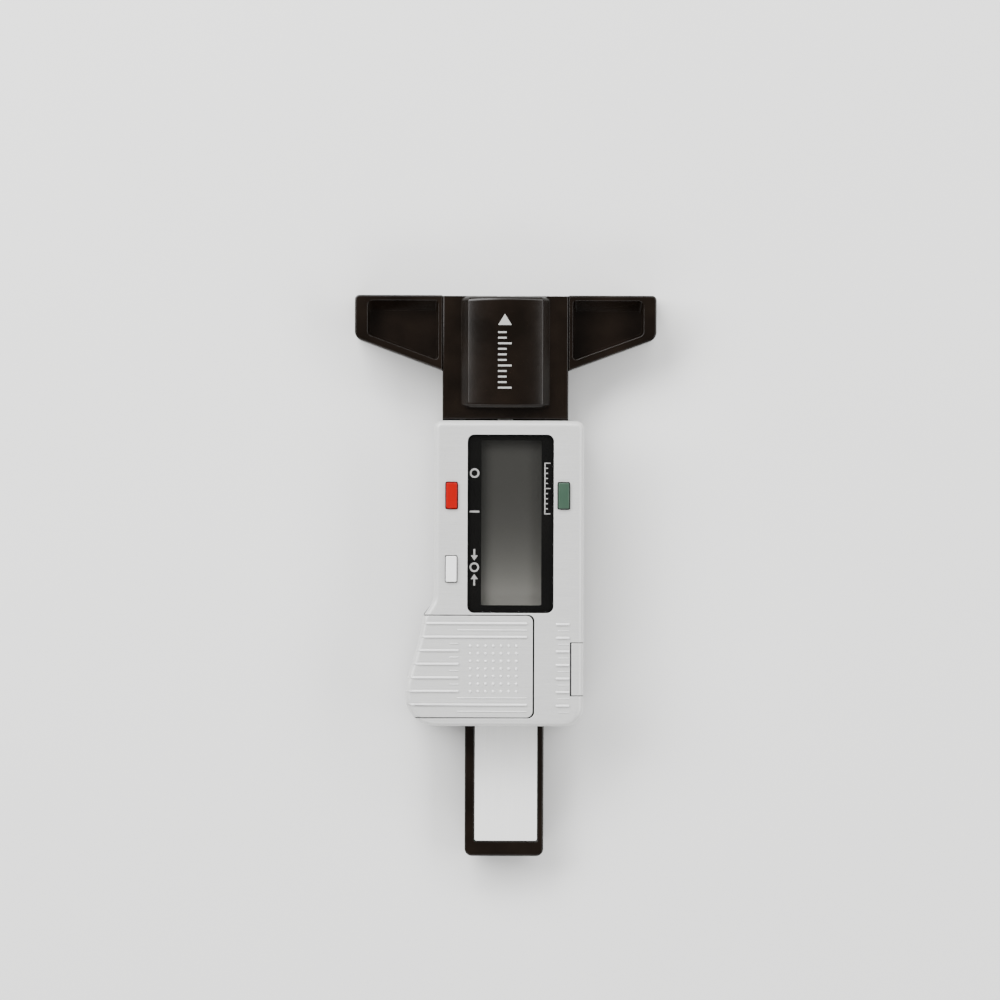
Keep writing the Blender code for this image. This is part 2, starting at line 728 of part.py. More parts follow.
def lcd_window(finish):
    """The clear cover over the display, set into the housing."""
    left, right = WINDOW_LEFT + FIT, WINDOW_RIGHT - FIT
    outline = rectangle(left, WINDOW_BOTTOM + FIT, right, WINDOW_TOP - FIT, WINDOW_CORNER - FIT)
    maker.part("lcd_window", plate(outline, WINDOW_LEDGE + SEAT / 2, WINDOW_FRONT), finish)


def button(name, place, finish):
    """A cap that stands out of the front, with a flange that keeps it in."""
    x, y, width, length = place
    cap = plate(
        rectangle(x - width / 2, y - length / 2, x + width / 2, y + length / 2, 0.3), BUTTON_FOOT, BUTTON_TOP
    )
    round_rim(cap, (BUTTON_TOP - BUTTON_FOOT) / 2, 0.2)
    flange_high = ROOF_UNDER - 0.3
    half_x, half_y = width / 2 + FLANGE, length / 2 + FLANGE
    flange = block(
        (x - half_x, y - half_y, flange_high - FLANGE_THICKNESS), (x + half_x, y + half_y, flange_high)
    )
    maker.part(name, join(cap, flange), finish)


def port_cover(finish):
    """The slide-out cover of the data port, which wraps from the front to the right side."""
    cover = housing_block()
    cover_low = (PORT_LEFT + FIT, PORT_BOTTOM + FIT, PORT_LOW + FIT)
    trim(cover, block(cover_low, (BEYOND, PORT_TOP - FIT, FACE + 1)))
    room = block((PORT_LEFT - 1, PORT_BOTTOM - 1, PORT_LOW - 1), (PORT_SIDE, PORT_TOP + 1, PORT_FRONT))
    tongue_low = (PORT_LEFT - TONGUE, PORT_BOTTOM + 2, TONGUE_LOW)
    tongue = block(tongue_low, (PORT_SIDE - 0.5, PORT_TOP - 2, ROOF_UNDER - SEAT))
    cut(cover, room)
    join(cover, tongue)
    maker.part("port_cover", cover, finish)


# ---------------------------------------------------------------- battery


def lid_ribs():
    """Raised ribs: right across at both ends, and short ones in the middle beside the thumb pad."""
    ribs = []
    high = FACE + RIB_HEIGHT
    for index in range(RIB_COUNT):
        y = RIB_FIRST_Y - index * RIB_PITCH
        left = RIB_FIRST_LEFT - RIB_LEAN * index
        right = RIB_END if index in FULL_RIBS else SHORT_RIB_END
        ribs.append(block((left, y - RIB_WIDTH / 2, FACE - 0.4), (right, y + RIB_WIDTH / 2, high)))
    return ribs


def battery_lid(finish):
    """The lid slides out to the bulged side: a plate, the side wall under it, and two hooked rails."""
    bay_top, bay_bottom = LID_TOP - LEDGE_WIDTH, LID_BOTTOM + LEDGE_WIDTH
    kept = plate(lid_area(FIT), LID_UNDER, FACE + 1)
    skirt = block((-BEYOND, bay_bottom + FIT, SKIRT_LOW), (HOOK_LEFT + 0.5, bay_top - FIT, LID_UNDER + 0.5))
    cut(skirt, plate(housing_outline(HOUSING_WALL - SEAT), SKIRT_LOW - 1, FACE + 1))
    lid = trim(housing_block(), join(kept, skirt))
    for inner, outward in ((bay_top - FIT, 1), (bay_bottom + FIT, -1)):
        web_low, web_high = sorted((inner, inner - outward * 0.8))
        hook_low, hook_high = sorted((inner - outward * 0.3, inner + outward * HOOK))
        join(lid, block((HOOK_LEFT, web_low, RAIL_FOOT), (HOOK_RIGHT, web_high, LID_UNDER + 0.4)))
        join(lid, block((HOOK_LEFT, hook_low, RAIL_FOOT), (HOOK_RIGHT, hook_high, LEDGE_LOW - 2 * SEAT)))
    join(lid, *lid_ribs())
    maker.part("battery_lid", lid, finish)


def button_cell(finish):
    high = CELL_LOW + CELL_HEIGHT
    cell = turned(
        CELL_X,
        CELL_Y,
        [
            (0, high),
            (CELL_RADIUS - 0.25, high),
            (CELL_RADIUS, high - 0.25),
            (CELL_RADIUS, CELL_LOW + 0.9),
            (CELL_RADIUS - 0.4, CELL_LOW + 0.6),
            (CELL_RADIUS - 0.8, CELL_LOW + 0.6),
            (CELL_RADIUS - 0.8, CELL_LOW + 0.2),
            (CELL_RADIUS - 1.0, CELL_LOW),
            (0, CELL_LOW),
        ],
        32,
    )
    maker.part("button_cell", cell, finish)


def battery_contacts(finish):
    """A round plate under the cell, and a bent leaf that bears on its side."""
    low = BOARD_HIGH + SEAT
    under = cylinder(CELL_X, CELL_Y, CONTACT_RADIUS, low, CELL_LOW - SEAT, 24)
    tail = block((CELL_X, CELL_Y - 1, low), (CELL_X + CONTACT_TAIL, CELL_Y + 1, CELL_LOW - SEAT))
    maker.part("negative_contact", join(under, tail), finish)
    side_x = CELL_X + CELL_RADIUS
    leaf = [
        (side_x + 0.35, low),
        (side_x + 3.0, low),
        (side_x + 3.0, low + 0.2),
        (side_x + 0.75, low + 0.2),
        (side_x + 0.35, low + 2.4),
        (side_x + 0.75, low + 4.4),
        (side_x + 0.55, low + 4.4),
        (side_x + 0.12, low + 2.4),
    ]
    maker.part("positive_contact", bar(leaf, CELL_Y - 2, CELL_Y + 2), finish)


# ---------------------------------------------------------------- display and circuit


def main_board(finish):
    """The circuit board, which reads the scale through its underside."""
    board = plate(housing_outline(HOUSING_WALL + 0.3), BOARD_LOW, BOARD_HIGH)
    low, high = BOARD_LOW - 1, BOARD_HIGH + 1
    clearances = [cylinder(x, y, BOSS_RADIUS + 0.2, low, high) for x, y in HOUSING_SCREWS]
    clearances += [cylinder(x, y, BOARD_SCREW_RADIUS + 0.15, low, high) for x, y in BOARD_SCREWS]
    maker.part("main_board", cut(board, *clearances), finish)


def board_screw(name, x, y, finish):
    head_high = BOARD_LOW - SEAT
    screw = turned(
        x,
        y,
        [
            (0, BOARD_SCREW_TOP),
            (BOARD_SCREW_RADIUS, BOARD_SCREW_TOP - 0.2),
            (BOARD_SCREW_RADIUS, head_high),
            (BOARD_SCREW_HEAD, head_high),
            (BOARD_SCREW_HEAD, head_high - 0.5),
            (BOARD_SCREW_HEAD - 0.4, head_high - 0.8),
            (0, head_high - 0.8),
        ],
        16,
    )
    maker.part(name, screw, finish)


def lcd_panel(finish):
    """The glass of the display: a wide front sheet on a narrower back sheet."""
    front = block((GLASS_LEFT, GLASS_BOTTOM, GLASS_STEP), (GLASS_RIGHT, GLASS_TOP, ROOF_UNDER - SEAT))
    back_low = (GLASS_LEFT, GLASS_BOTTOM + GLASS_EDGE, GLASS_LOW)
    back = block(back_low, (GLASS_RIGHT, GLASS_TOP - GLASS_EDGE, GLASS_STEP + SEAT))
    maker.part("lcd_panel", join(front, back), finish)


def board_pieces(finishes):
    """What stands on the board: display connectors, chip, crystal, switches and the data socket."""
    low = BOARD_HIGH + SEAT
    right_left = GLASS_RIGHT - 0.2 - CONNECTOR
    for name, left in (("left_display_connector", GLASS_LEFT + 0.2), ("right_display_connector", right_left)):
        strip = block((left, GLASS_BOTTOM + 1, low), (left + CONNECTOR, GLASS_TOP - 1, GLASS_LOW - SEAT))
        maker.part(name, strip, finishes["rubber"])
    drop = [
        (0, low + 1.5),
        (CHIP_RADIUS - 1.6, low + 1.2),
        (CHIP_RADIUS - 0.2, low + 0.4),
        (CHIP_RADIUS, low),
        (0, low),
    ]
    maker.part("chip", turned(CHIP_X, CHIP_Y, drop, 24), finishes["epoxy"])
    crystal_high = (CRYSTAL_LEFT + CRYSTAL_WIDTH, CRYSTAL_BOTTOM + CRYSTAL_LENGTH, low + CRYSTAL_WIDTH)
    maker.part("crystal", block((CRYSTAL_LEFT, CRYSTAL_BOTTOM, low), crystal_high), finishes["steel"])
    buttons = {"power_switch": POWER_BUTTON, "zero_switch": ZERO_BUTTON, "unit_switch": UNIT_BUTTON}
    for name, (x, y, _, _) in buttons.items():
        switch_low = (x - SWITCH_HALF_X, y - SWITCH_HALF_Y, low)
        switch_high = (x + SWITCH_HALF_X, y + SWITCH_HALF_Y, SWITCH_TOP - PLUNGER_RISE)
        plunger = cylinder(x, y, PLUNGER_RADIUS, low + 0.4, SWITCH_TOP, 16)
        maker.part(name, join(block(switch_low, switch_high), plunger), finishes["switch"])
    socket = block((SOCKET_LEFT, SOCKET_BOTTOM, low), (SOCKET_RIGHT, SOCKET_TOP, low + 1))
    slots = []
    for index in range(SOCKET_SLOTS):
        y = SOCKET_BOTTOM + 0.7 + index * SLOT_PITCH
        slots.append(block((SOCKET_LEFT + SLOT, y, low + 0.5), (SOCKET_RIGHT + 1, y + SLOT, low + 2)))
    maker.part("data_socket", cut(socket, *slots), finishes["switch"])


# ---------------------------------------------------------------- all of it


def build():
    black = material("black_abs", (0.012, 0.011, 0.010), 0.22)
    silver = material("silver_abs", (0.60, 0.60, 0.58), 0.42, 0.15)
    label = material("silver_label", (0.74, 0.74, 0.72), 0.4, 0.2)
    steel = material("stainless_steel", (0.62, 0.61, 0.59), 0.28, 1.0)
    zinc = material("zinc_plated_steel", (0.50, 0.50, 0.48), 0.35, 1.0)
    fibre = material("green_circuit_board", (0.02, 0.14, 0.06), 0.5)
    glass = material("display_glass", (0.16, 0.17, 0.16), 0.15)
    acrylic = material("clear_acrylic", (0.85, 0.85, 0.85), 0.05, transmission=0.9)
    rubber = material("connector_rubber", (0.55, 0.42, 0.40), 0.7)
    epoxy = material("black_epoxy", (0.01, 0.01, 0.01), 0.3)
    switch = material("switch_plastic", (0.05, 0.05, 0.05), 0.5)
    red = material("red_abs", (0.90, 0.02, 0.005), 0.4)
    white = material("white_abs", (0.75, 0.75, 0.73), 0.4)
    green = material("green_abs", (0.09, 0.21, 0.13), 0.4)

    frame(black)
    stem_cover(black)
    beam(black)
    scale_strips(fibre, label)
    probe(steel)
    for index, y in enumerate(RIVET_Y, 1):
        rivet(f"probe_rivet_{index}", y, zinc)
    stop_pin(zinc)
    gib_spring(steel)
    housing(silver)
    lcd_window(acrylic)
    button("power_button", POWER_BUTTON, red)
    button("zero_button", ZERO_BUTTON, white)
    button("unit_button", UNIT_BUTTON, green)
    port_cover(silver)
    battery_lid(silver)
    button_cell(steel)
    battery_contacts(zinc)
    main_board(fibre)
    lcd_panel(glass)
    board_pieces({"rubber": rubber, "epoxy": epoxy, "steel": zinc, "switch": switch})
    for index, (x, y) in enumerate(HOUSING_SCREWS, 1):
        fixing_screw(f"housing_screw_{index}", x, y, HOUSING_SCREW_TOP, zinc)
    for index, (x, y) in enumerate(STEM_SCREWS, 1):
        fixing_screw(f"stem_screw_{index}", x, y, STEM_SCREW_TOP, zinc)
    for index, (x, y) in enumerate(BOARD_SCREWS, 1):
        board_screw(f"board_screw_{index}", x, y, zinc)


build()
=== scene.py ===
"""The looks of a digital tyre tread depth gauge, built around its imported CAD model.

Sizes are in millimetres, in the CAD model's frame: +Z out of the display, +Y towards the measuring
face, x = 0 on the centre line of the beam. The functions that make meshes turn them into metres.
"""

import json
import math

import bmesh
import bpy
from mathutils import Matrix, Vector

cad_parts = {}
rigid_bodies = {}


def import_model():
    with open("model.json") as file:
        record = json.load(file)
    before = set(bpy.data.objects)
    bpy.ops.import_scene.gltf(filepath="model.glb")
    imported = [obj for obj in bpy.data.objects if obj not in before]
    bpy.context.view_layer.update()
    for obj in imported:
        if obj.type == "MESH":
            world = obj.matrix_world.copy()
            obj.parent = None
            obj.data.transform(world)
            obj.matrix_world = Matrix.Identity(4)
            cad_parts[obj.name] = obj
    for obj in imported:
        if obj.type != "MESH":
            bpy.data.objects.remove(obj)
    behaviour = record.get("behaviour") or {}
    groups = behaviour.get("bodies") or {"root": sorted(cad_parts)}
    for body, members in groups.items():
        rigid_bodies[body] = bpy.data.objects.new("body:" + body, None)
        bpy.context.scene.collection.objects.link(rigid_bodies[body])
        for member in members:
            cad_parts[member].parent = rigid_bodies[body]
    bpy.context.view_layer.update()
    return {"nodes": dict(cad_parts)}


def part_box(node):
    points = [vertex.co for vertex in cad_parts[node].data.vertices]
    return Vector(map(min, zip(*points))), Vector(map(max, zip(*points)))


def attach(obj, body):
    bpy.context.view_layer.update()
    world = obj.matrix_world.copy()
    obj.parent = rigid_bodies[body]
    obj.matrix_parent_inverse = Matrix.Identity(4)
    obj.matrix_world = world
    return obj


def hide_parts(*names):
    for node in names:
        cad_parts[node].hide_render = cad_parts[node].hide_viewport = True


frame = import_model()

MM = 0.001
SEAT, GAP = 0.1, 0.15  # between faces that rest on each other, and round what drops into an opening
SAME_POINT = 1e-6  # in metres, well under any real size
SHARP = math.radians(38)  # edges sharper than this are eased and shaded as edges


def span(node):
    """Lowest and highest corner of a CAD node, in millimetres."""
    low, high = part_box(node)
    return low / MM, high / MM


# ---------------------------------------------------------------- sizes taken from the CAD model

BASE_HIGH = span("frame")[1]
COVER_LOW, COVER_HIGH = span("stem_cover")
SHELL_LOW, SHELL_HIGH = span("housing")
PORT_LOW, PORT_HIGH = span("port_cover")
BEAM_LOW, BEAM_HIGH = span("beam")
LABEL_LOW, LABEL_HIGH = span("scale_label")
PANE_LOW, PANE_HIGH = span("lcd_window")
PANEL_LOW, PANEL_HIGH = span("lcd_panel")
PROBE_LOW, PROBE_HIGH = span("probe")

FACE_Y = BASE_HIGH.y
HEAD_HALF = BASE_HIGH.x
WING_TOP = BASE_HIGH.z
STEM_HALF = COVER_HIGH.x + SEAT
RIB_HEIGHT = 0.3
FACE = SHELL_HIGH.z - RIB_HEIGHT
BASE_TOP = SHELL_LOW.z - SEAT
SHELL_LEFT, SHELL_RIGHT = -14.1, SHELL_HIGH.x
SHELL_TOP, SHELL_BOTTOM = SHELL_HIGH.y, SHELL_LOW.y
WINDOW_LOW = PANE_LOW - Vector((GAP, GAP, 0))
WINDOW_HIGH = PANE_HIGH + Vector((GAP, GAP, 0))

# Levels and sizes that boxes can't give, the same as in the CAD source
FLOOR_TOP, RAIL_TOP = 2.0, 6.2
ROOF_UNDER = 12.9
WALL = 1.3
TIP_Y, ARMPIT_Y = 47.2, 40.8
END_WALL = 1.5
CHANNEL_HALF, SPRING_ROOM, RAIL = 8.0, 0.6, 1.0
SCALE_BED = 5.2
BEYOND = 25.0  # clear of the housing on both sides
WINDOW_CORNER = 1.3
VIEW_LEFT, VIEW_RIGHT, VIEW_BOTTOM, VIEW_TOP = -5.8, 8.0, -6.3, 27.2
STOP_PIN_Y, STOP_PIN_RADIUS, GROOVE_FLOOR, DEPTH_TRAVEL = 12.0, 1.0, 0.7, 25.4
LID_RIGHT, LID_BOTTOM, LID_TOP, LID_CORNER = 5.85, -28.0, -7.6, 1.2
LEDGE_WIDTH, LEDGE_LOW, LEDGE_HIGH = 1.8, 12.1, 13.1
LID_UNDER, SKIRT_LOW, RAIL_FOOT = 13.2, 8.5, 10.9
HOOK, HOOK_LEFT, HOOK_RIGHT = 0.85, -13.5, 3.5
TONGUE, TONGUE_LOW, PORT_SIDE, PORT_FRONT = 0.9, 11.8, 14.5, 12.0
HOUSING_SCREWS = ((-11.5, 27.0), (12.9, 27.0), (-11.5, -4.0), (12.2, -25.6))
STEM_SCREWS = ((-10.4, 37.0), (10.4, 37.0), (-10.4, 50.5), (10.4, 50.5))
SCREW_RADIUS, SCREW_HEAD, SCREW_HEAD_HIGH = 0.85, 1.6, 1.7

# Ribs and buttons
MAIN_WIDTH, MAIN_HEIGHT = 0.38, RIB_HEIGHT
FINE_WIDTH, FINE_HEIGHT, FAINT_HEIGHT = 0.26, 0.15, 0.1
RIB_PITCH, RIB_FIRST_Y, RIB_COUNT, RIB_END = 2.68, -9.25, 7, 4.4
BUTTON_CORNER, BUTTON_CROWN, FLANGE_HIGH, FLANGE_THICKNESS = 0.25, 0.2, 12.6, 0.8


# ---------------------------------------------------------------- outlines


def rounded(corners, segments=8):
    """Outline points of a polygon whose corners are given as (x, y, radius)."""
    points = []
    for index, (x, y, radius) in enumerate(corners):
        corner = Vector((x, y))
        if not radius:
            points.append(corner)
            continue
        back = (Vector(corners[index - 1][:2]) - corner).normalized()
        on = (Vector(corners[(index + 1) % len(corners)][:2]) - corner).normalized()
        half = back.angle(on) / 2
        centre = corner + (back + on).normalized() * (radius / math.sin(half))
        first = corner + back * (radius / math.tan(half)) - centre
        turn = first.angle_signed(corner + on * (radius / math.tan(half)) - centre)
        for step in range(segments + 1):
            points.append(centre + Matrix.Rotation(-turn * step / segments, 2) @ first)
    return points


def inset(corners, distance, least=0.2):
    """Counter-clockwise (x, y, radius) corners moved inwards, their rounding fitted to the new size."""
    moved = []
    for index, (x, y, radius) in enumerate(corners):
        corner = Vector((x, y))
        before = (corner - Vector(corners[index - 1][:2])).normalized()
        after = (Vector(corners[(index + 1) % len(corners)][:2]) - corner).normalized()
        normals = Vector((-before.y, before.x)), Vector((-after.y, after.x))
        corner += (normals[0] + normals[1]) * distance / (1 + normals[0].dot(normals[1]))
        outwards = before.cross(after) > 0
        moved.append((corner.x, corner.y, max(radius - distance, least) if outwards else radius + distance))
    return moved


# Front view of the display housing, bulged round the battery
SHELL_CORNERS = [
    (SHELL_RIGHT, SHELL_TOP, 1.5),
    (SHELL_LEFT, SHELL_TOP, 1.5),
    (SHELL_LEFT, -4.6, 2.0),
    (-16.15, -7.9, 2.0),
    (-16.9, -12.2, 30.0),
    (-19.6, -21.4, 10.0),
    (-19.9, SHELL_BOTTOM, 6.0),
    (SHELL_RIGHT, SHELL_BOTTOM, 3.8),
]
SHELL_ROUND = 1.3


def shell_outline(margin=0.0):
    return rounded(inset(SHELL_CORNERS, margin) if margin else SHELL_CORNERS)


def box_corners(left, bottom, right, top, radius):
    return [(right, top, radius), (left, top, radius), (left, bottom, radius), (right, bottom, radius)]


def rectangle(left, bottom, right, top, radius, segments=6):
    return rounded(box_corners(left, bottom, right, top, radius), segments)


def ring_points(x, y, radius, count=24):
    turns = [math.tau * step / count for step in range(count)]
    return [Vector((x + radius * math.cos(turn), y + radius * math.sin(turn))) for turn in turns]


# ---------------------------------------------------------------- meshes

helpers = bpy.data.collections.new("helpers")
bpy.context.scene.collection.children.link(helpers)
pieces = bpy.data.collections.new("tread_depth_gauge")
bpy.context.scene.collection.children.link(pieces)


def helper(mesh, centre=(0, 0, 0), rotation=(0, 0, 0)):
    mesh.materials.append(None)
    mesh.materials.append(None)
    obj = bpy.data.objects.new("helper", mesh)
    obj.location = Vector(centre) * MM
    obj.rotation_euler = rotation
    obj.hide_render = True
    helpers.objects.link(obj)
    return obj


def mesh_of(bm):
    mesh = bpy.data.meshes.new("mesh")
    bm.to_mesh(mesh)
    bm.free()
    return mesh


def block(low, high):
    low, high = Vector(low), Vector(high)
    bm = bmesh.new()
    bmesh.ops.create_cube(bm, size=1)
    bmesh.ops.scale(bm, vec=(high - low) * MM, verts=bm.verts)
    return helper(mesh_of(bm), (low + high) / 2)


def cylinder(x, y, radius, low, high, sides=32):
    bm = bmesh.new()
    bmesh.ops.create_cone(
        bm, cap_ends=True, segments=sides, radius1=radius * MM, radius2=radius * MM, depth=(high - low) * MM
    )
    return helper(mesh_of(bm), (x, y, (low + high) / 2))


def flat_mesh(outlines, thickness):
    """The mesh of a filled drawing: the first outline less those inside it."""
    curve = bpy.data.curves.new("outline", "CURVE")
    curve.dimensions = "2D"
    curve.fill_mode = "BOTH"
    curve.extrude = thickness / 2 * MM
    for outline in outlines:
        spline = curve.splines.new("POLY")
        spline.points.add(len(outline) - 1)
        for point, place in zip(spline.points, outline):
            point.co = (place[0] * MM, place[1] * MM, 0, 1)
        spline.use_cyclic_u = True
    drawn = bpy.data.objects.new("outline", curve)
    bpy.context.scene.collection.objects.link(drawn)
    graph = bpy.context.evaluated_depsgraph_get()
    mesh = bpy.data.meshes.new_from_object(drawn.evaluated_get(graph))
    bpy.data.objects.remove(drawn, do_unlink=True)
    bm = bmesh.new()
    bm.from_mesh(mesh)
    bpy.data.meshes.remove(mesh)
    bmesh.ops.remove_doubles(bm, verts=bm.verts, dist=SAME_POINT)
    bmesh.ops.dissolve_limit(bm, angle_limit=math.radians(0.5), verts=bm.verts, edges=bm.edges)
    bmesh.ops.recalc_face_normals(bm, faces=bm.faces)
    return mesh_of(bm)


def plate(outline, low, high, *holes):
    """A flat outline in X and Y with this height range."""
    return helper(flat_mesh([outline, *holes], high - low), (0, 0, (low + high) / 2))


def bar(profile, low_y, high_y):
    """A profile in X and Z that runs along Y."""
    upright = (math.radians(90), 0, 0)
    return helper(flat_mesh([profile], high_y - low_y), (0, (low_y + high_y) / 2, 0), upright)


def loft(levels, segments=8):
    """A solid through outlines, given as (height, corners) from the bottom up."""
    bm = bmesh.new()
    rings = []
    for height, corners in levels:
        rings.append([bm.verts.new((*(point * MM), height * MM)) for point in rounded(corners, segments)])
    for lower, upper in zip(rings, rings[1:]):
        for index in range(len(lower)):
            bm.faces.new((lower[index - 1], lower[index], upper[index], upper[index - 1]))
    bm.faces.new(rings[0])
    bm.faces.new(rings[-1])
    bmesh.ops.recalc_face_normals(bm, faces=bm.faces)
    return helper(mesh_of(bm))


def softened(corners, low, high, foot, crown, steps=6, segments=8):
    """A solid with this outline, its lower and upper edges rounded by these radii."""
    turns = [math.pi / 2 * step / steps for step in range(steps + 1)]
    quarter = [(1 - math.cos(turn), 1 - math.sin(turn)) for turn in turns]
    levels = [(low, corners)]
    if foot:
        levels = [(low + foot * up, inset(corners, foot * inwards)) for up, inwards in quarter]
    levels += [(high - crown * down, inset(corners, crown * inwards)) for inwards, down in quarter]
    return loft(levels, segments)


def round_rim(obj, level, width, segments=5):
    """Rounds the edges that lie at this local height of an object."""
    bm = bmesh.new()
    bm.from_mesh(obj.data)
    flat = SAME_POINT / 10
    rim = [edge for edge in bm.edges if all(abs(vert.co.z - level * MM) < flat for vert in edge.verts)]
    bmesh.ops.bevel(
        bm,
        geom=rim,
        offset=width * MM,
        offset_type="OFFSET",
        segments=segments,
        profile=0.5,
        affect="EDGES",
        clamp_overlap=False,
    )
    bm.to_mesh(obj.data)
    bm.free()
    return obj


def combine(obj, operation, others):
    for other in others:
        boolean = obj.modifiers.new(operation.lower(), "BOOLEAN")
        boolean.operation = operation
        boolean.solver = "EXACT"
        boolean.object = other
    return obj


def cut(obj, *others):
    """Cuts that leave the second material, which is the bare plastic inside a piece; on the silver pieces it
    is also painted shade in their gaps.
    """
    for other in others:
        other.data.polygons.foreach_set("material_index", [1] * len(other.data.polygons))
    return combine(obj, "DIFFERENCE", others)


def carve(obj, *others):
    """Cuts that keep the outer finish."""
    return combine(obj, "DIFFERENCE", others)


def join(obj, *others):
    return combine(obj, "UNION", others)


def trim(obj, *others):
    return combine(obj, "INTERSECT", others)


def together(objects):
    """Several helpers, clear of each other, as one."""
    bm = bmesh.new()
    for obj in objects:
        obj.data.transform(Matrix.LocRotScale(obj.location, obj.rotation_euler, None))
        bm.from_mesh(obj.data)
    return helper(mesh_of(bm))


def settle(obj, name, body, finish, inner=None, edge=0.0, stands_for=(), studs=None):
    """Applies a helper's modifiers and makes it the piece with this name, with its outer edges eased.

    Studs are small shapes that are sunk into the piece without being cut to it.
    """
    bpy.context.view_layer.update()
    graph = bpy.context.evaluated_depsgraph_get()
    mesh = bpy.data.meshes.new_from_object(obj.evaluated_get(graph))
    mesh.transform(obj.matrix_world)
    bm = bmesh.new()
    bm.from_mesh(mesh)
    bmesh.ops.remove_doubles(bm, verts=bm.verts, dist=2 * SAME_POINT)
    bmesh.ops.dissolve_degenerate(bm, edges=bm.edges, dist=SAME_POINT)
    bmesh.ops.dissolve_limit(
        bm, angle_limit=math.radians(0.4), verts=bm.verts, edges=bm.edges, delimit={"MATERIAL"}
    )
    weights = bm.edges.layers.float.new("bevel_weight_edge")
    for line in bm.edges:
        line[weights] = float(line.is_manifold and line.is_convex and line.calc_face_angle() > SHARP)
    if studs:
        bm.from_mesh(studs.data)
    bm.to_mesh(mesh)
    bm.free()
    mesh.name = name
    mesh.materials[0] = finish
    mesh.materials[1] = inner or finish
    piece = bpy.data.objects.new(name, mesh)
    pieces.objects.link(piece)
    ease(piece, edge, "WEIGHT")
    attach(piece, body)
    if stands_for:
        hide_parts(*stands_for)
    return piece


def ease(piece, edge, limit="ANGLE"):
    """Small rounded edges, and normals that keep the flats flat."""
    piece.data.shade_smooth()
    piece.data.set_sharp_from_angle(angle=SHARP)
    if edge:
        bevel = piece.modifiers.new("edges", "BEVEL")
        bevel.width = edge * MM
        bevel.segments = 2
        bevel.limit_method = limit
        bevel.angle_limit = SHARP
        bevel.use_clamp_overlap = False
        bevel.miter_outer = "MITER_ARC"
    normals = piece.modifiers.new("normals", "WEIGHTED_NORMAL")
    normals.keep_sharp = True


# ---------------------------------------------------------------- materials


